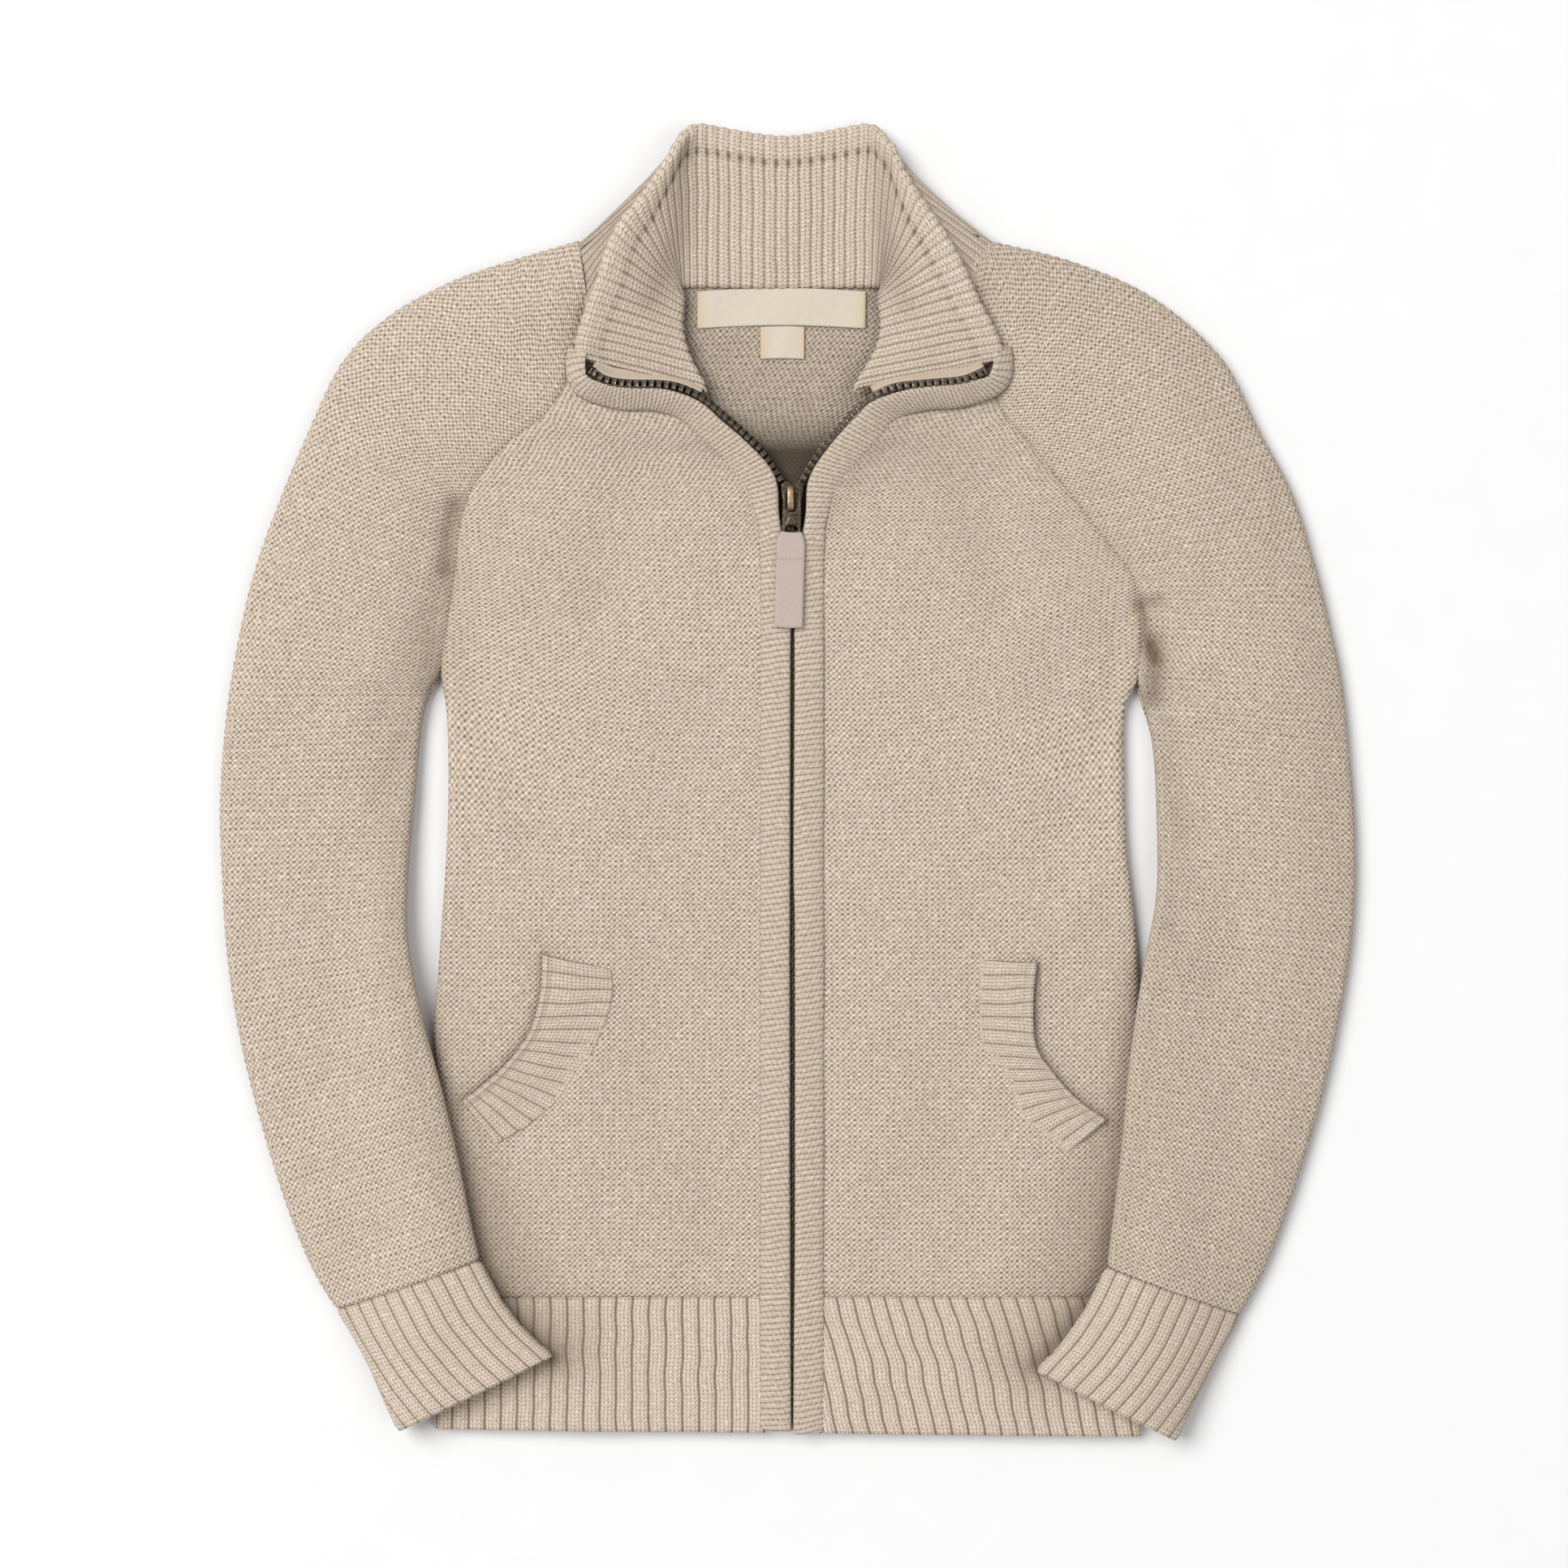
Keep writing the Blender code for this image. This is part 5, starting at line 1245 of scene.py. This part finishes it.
def joined(name, parts):
    # several objects as one mesh
    bm = bmesh.new()
    finishes = []
    for part in parts:
        start = len(bm.faces)
        bm.from_mesh(part.data)
        bm.faces.ensure_lookup_table()
        finish = part.data.materials[0]
        if finish not in finishes:
            finishes.append(finish)
        for face in bm.faces[start:]:
            face.material_index = finishes.index(finish)
    mesh = bpy.data.meshes.new(name)
    bm.to_mesh(mesh)
    bm.free()
    for finish in finishes:
        mesh.materials.append(finish)
    for part in parts:
        bpy.data.objects.remove(part)
    return placed(name, mesh)


def movedMesh(piece, change):
    # passes a piece's points, in millimetres, through a function
    mesh = piece.data
    spots = np.empty(len(mesh.vertices) * 3)
    mesh.vertices.foreach_get("co", spots)
    mesh.vertices.foreach_set("co", (change(spots.reshape(-1, 3) / mm) * mm).ravel())
    mesh.update()
    return piece


def blocksFrom(name, blocks):
    bm = bmesh.new()
    for centre, size, bevel in blocks:
        addBlock(bm, centre, uprightAxes, size, bevel)
    return objectFrom(bm, name, darkBrass)


def bridgeBar():
    path, _ = throughRows(slider["bridge"], 0.35, along=(0, 1))
    ahead = unit(np.gradient(path, axis=0))
    turn = np.linspace(0, 2 * math.pi, 25)[None, :]
    cos, sin = np.cos(turn), np.sin(turn)
    aside = np.sign(cos) * np.abs(cos) ** 0.45 * slider["bridgeWide"] / 2
    up = np.sign(sin) * np.abs(sin) ** 0.8 * slider["bridgeThick"] / 2
    points = np.dstack([slider["bridgeMiddle"] + aside + 0 * path[:, :1],
                        path[:, :1] - ahead[:, 1:] * up, path[:, 1:] + ahead[:, :1] * up])
    return meshFromGrid("bridgeBar", points, points[..., :2], wornBrass)


outline = [(body["middle"] + wide, y) for y, wide in slider["outline"]]
outline += [(body["middle"] - wide, y) for y, wide in slider["outline"][-2::-1]]
parts = []
for level, thick in slider["plates"]:
    plate = plateFrom("sliderPlate", [outline], thick, 0.3, darkBrass)
    parts.append(movedMesh(plate, lambda spots: spots + np.array((0, 0, level))))
parts += [blocksFrom("sliderPost", slider["blocks"]), bridgeBar()]
standFor(joined("zipSlider", parts), garment, "brass", "zip_slider")
print("slider made")


puller = {
    "hinge": (2.2, 107.0, 8.6),
    # left, low, right and high edge, then the corners' radii from the lower left anticlockwise
    "link": ((-3.45, -15.3, 3.45, 1.2), (0.5, 0.5, 1.1, 1.1), 6),
    "window": ((-2.25, -7.1, 2.25, -0.3), (2.1, 2.1, 0.4, 0.4), 9),
    "eye": ((-2.35, -14.3, 2.45, -12.1), (0.5, 0.5, 1.6, 1.6), 8),
    "ridges": (((0, -8.1, 0.55), (4.6, 0.45, 0.4), 0.12),
               ((0, -11.75, 0.55), (4.9, 0.35, 0.35), 0.1)),
    "linkLong": 14.2,
    "linkThick": 1.1,
    "linkRise": 1.2,            # how far the link's free end stands above its hinge
    "tapeWide": 10.4,
    "tapeLong": 36.0,
    "tapeThick": 1.6,
    "tapeGrid": (27, 73),
    "tilt": -0.028,
    "stitchLine": 10.0,
    "stitchLong": 1.7,
    "dark": (0.22, 0.16, 0.135),
    "light": (0.59, 0.50, 0.45),
    "stitch": (0.24, 0.18, 0.15),
    "chevronWide": 5.2,
    "ribPitch": 0.85,
}
pullTwill = herringbone("pullTapeTwill", puller)


def pullTape():
    # the folded twill tab: rounded corners at the link, square at its free end
    count, high = puller["tapeGrid"]
    t, s = np.linspace(0, 1, high)[:, None], np.linspace(-1, 1, count)[None, :]
    seen = puller["tapeLong"] - 0.8
    down = t * seen
    half = puller["tapeWide"] / 2 * (0.70 + 0.30 * np.sin(ramp(down, 5.5) * math.pi / 2) ** 0.8)
    x = s * half
    y = -puller["linkLong"] - 0.3 - 0.35 * (1 - s * s) - down
    flat = ramp((1 - np.abs(s)) * half, 0.7)
    swell = puller["tapeThick"] / 2 * np.sqrt(1 - (1 - flat) ** 2)
    swell = swell * np.sqrt(1 - np.clip(1 - (1 - t) * seen / 0.5, 0, 1) ** 2 * 0.75)
    dashes = 0.55 + 0.45 * np.sign(np.sin(x * 2 * math.pi / puller["stitchLong"]))
    dashes = near(down - puller["stitchLine"], 0.35) * dashes
    swell = swell - 0.25 * dashes * (flat > 0.9)
    texture = np.dstack([s * puller["tapeWide"] / 2 + 0 * t, down + 0 * s])
    return x, y, swell, texture, dashes


def placedOnHinge(points):
    turned = points.copy()
    cos, sin = math.cos(puller["tilt"]), math.sin(puller["tilt"])
    turned[..., 0] = points[..., 0] * cos - points[..., 1] * sin
    turned[..., 1] = points[..., 0] * sin + points[..., 1] * cos
    return turned + np.array(puller["hinge"])


def leaning(spots):
    # the link rises a little from its hinge to the tape
    risen = spots.copy()
    risen[:, 2] += ramp(-spots[:, 1], puller["linkLong"]) * puller["linkRise"]
    return placedOnHinge(risen)


outlines = [rounded(*edges, radii, steps)
            for edges, radii, steps in (puller[key] for key in ("link", "window", "eye"))]
plate = plateFrom("linkPlate", outlines, puller["linkThick"], 0.28, darkBrass)
linkParts = [plate, blocksFrom("linkRidges", puller["ridges"])]
linkPiece = movedMesh(joined("zipPullLink", linkParts), leaning)
standFor(linkPiece, pull, "brass", "zip_pull_link")

# the tab's two faces make one closed ring
x, y, swell, texture, dashes = pullTape()
middleZ = puller["linkRise"] + 0.6
ring = np.concatenate([np.dstack([x, y, middleZ + swell]),
                       np.dstack([x, y, middleZ - swell])[:, ::-1]], axis=1)
bothSides = [np.concatenate([values, values[:, ::-1]], axis=1) for values in (texture, dashes)]
tapePiece = meshFromGrid("pullTape", placedOnHinge(ring), bothSides[0], pullTwill, True,
                         bothSides[1] * 0.6)
declareCloth(tapePiece, ["pull_tape"], "twill", body=pull)
print("pull link and tape made")


label = {
    "wall": 0.7,                # clear of the back
    "backTop": 3.2,
    "thick": 0.35,
    "colours": ((0.59, 0.53, 0.44), (0.47, 0.415, 0.33)),
    "weave": (0.42, 0.00008, 0.75),     # pitch, bump, roughness
    "grid": (64, 22),
}
labelWeave = wovenMaterial("labelWeave", *label["colours"], *label["weave"])
labelRows = (
    # name, node, middle x, top y, width, height, bow, wave
    ("neckLabel", "neck_label", -1.8, 183.2, 62.5, 13.8, 1.2, 0.5),
    ("sizeTag", "size_tag", -1.5, 169.2, 16.2, 12.0, 0.3, 0.25),
)
for name, nodeName, middle, top, wide, high, bow, lift in labelRows:
    s = np.linspace(-1, 1, label["grid"][0])[None, :]
    t = np.linspace(1, 0, label["grid"][1])[:, None]
    x = middle + s * wide / 2 + 0 * t
    y = top - t * high + bow * (1 - s * s) - bow
    wave = lift * (0.5 + 0.5 * np.sin(s * 5 + t * 2)) * (1 - s ** 8)
    z = label["backTop"] + label["wall"] + wave
    stain = 0.5 * near((1 - np.abs(s)) * wide / 2, 2.6)
    piece = knitPiece(name, np.dstack([x, y, z]), s * wide / 2, t * high, labelWeave, shade=stain,
                      wall=label["thick"])
    declareCloth(piece, [nodeName], "label")
print("labels made")


# Floor, light and camera

studio = {
    "world": 0.47,
    # name, place, size, power
    "lights": (("keyLight", (-2.6, 1.6, 4.6), 3.6, 312.0),
               ("fillLight", (3.0, -1.5, 4.6), 4.0, 66.0)),
    "floor": ((0.70, 0.70, 0.70), (0.73, 0.73, 0.73)),
    "floorHalf": 9000.0,
    "camera": (-0.0009, -0.0006, 1.3765),
    "lens": 85,
}


def paleFloor():
    made, tree, shader = newMaterial("paleFloor", 0.85)
    grain = noise(tree, node(tree, "ShaderNodeTexCoord").outputs["Object"], 60.0, 3.0)
    setFinish(tree, shader, blendColour(tree, grain, *studio["floor"]), grain, 0.0001, 0.15)
    return made


reach = np.linspace(-studio["floorHalf"], studio["floorHalf"], 9)
spots = np.dstack([*np.meshgrid(reach, reach), np.full((9, 9), -0.3)])
floor = meshFromGrid("floor", spots, spots[..., :2] * 0.001, paleFloor())
floor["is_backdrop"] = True

for name, spot, size, power in studio["lights"]:
    lamp = bpy.data.lights.new(name, "AREA")
    lamp.shape = "DISK"
    lamp.size = size
    lamp.energy = power
    light = placed(name, lamp)
    light.location = spot
    light.rotation_euler = Vector(spot).to_track_quat("Z", "Y").to_euler()
world = bpy.data.worlds.new("studio")
world.use_nodes = True
background = world.node_tree.nodes["Background"]
background.inputs["Color"].default_value = (1.0, 1.0, 1.0, 1.0)
background.inputs["Strength"].default_value = studio["world"]
bpy.context.scene.world = world

lens = bpy.data.cameras.new("overhead")
lens.lens = studio["lens"]
lens.sensor_width = 36
camera = placed("overhead", lens)
camera.location = studio["camera"]
bpy.context.scene.camera = camera
print("stage made")

bpy.context.view_layer.update()
low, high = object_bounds()
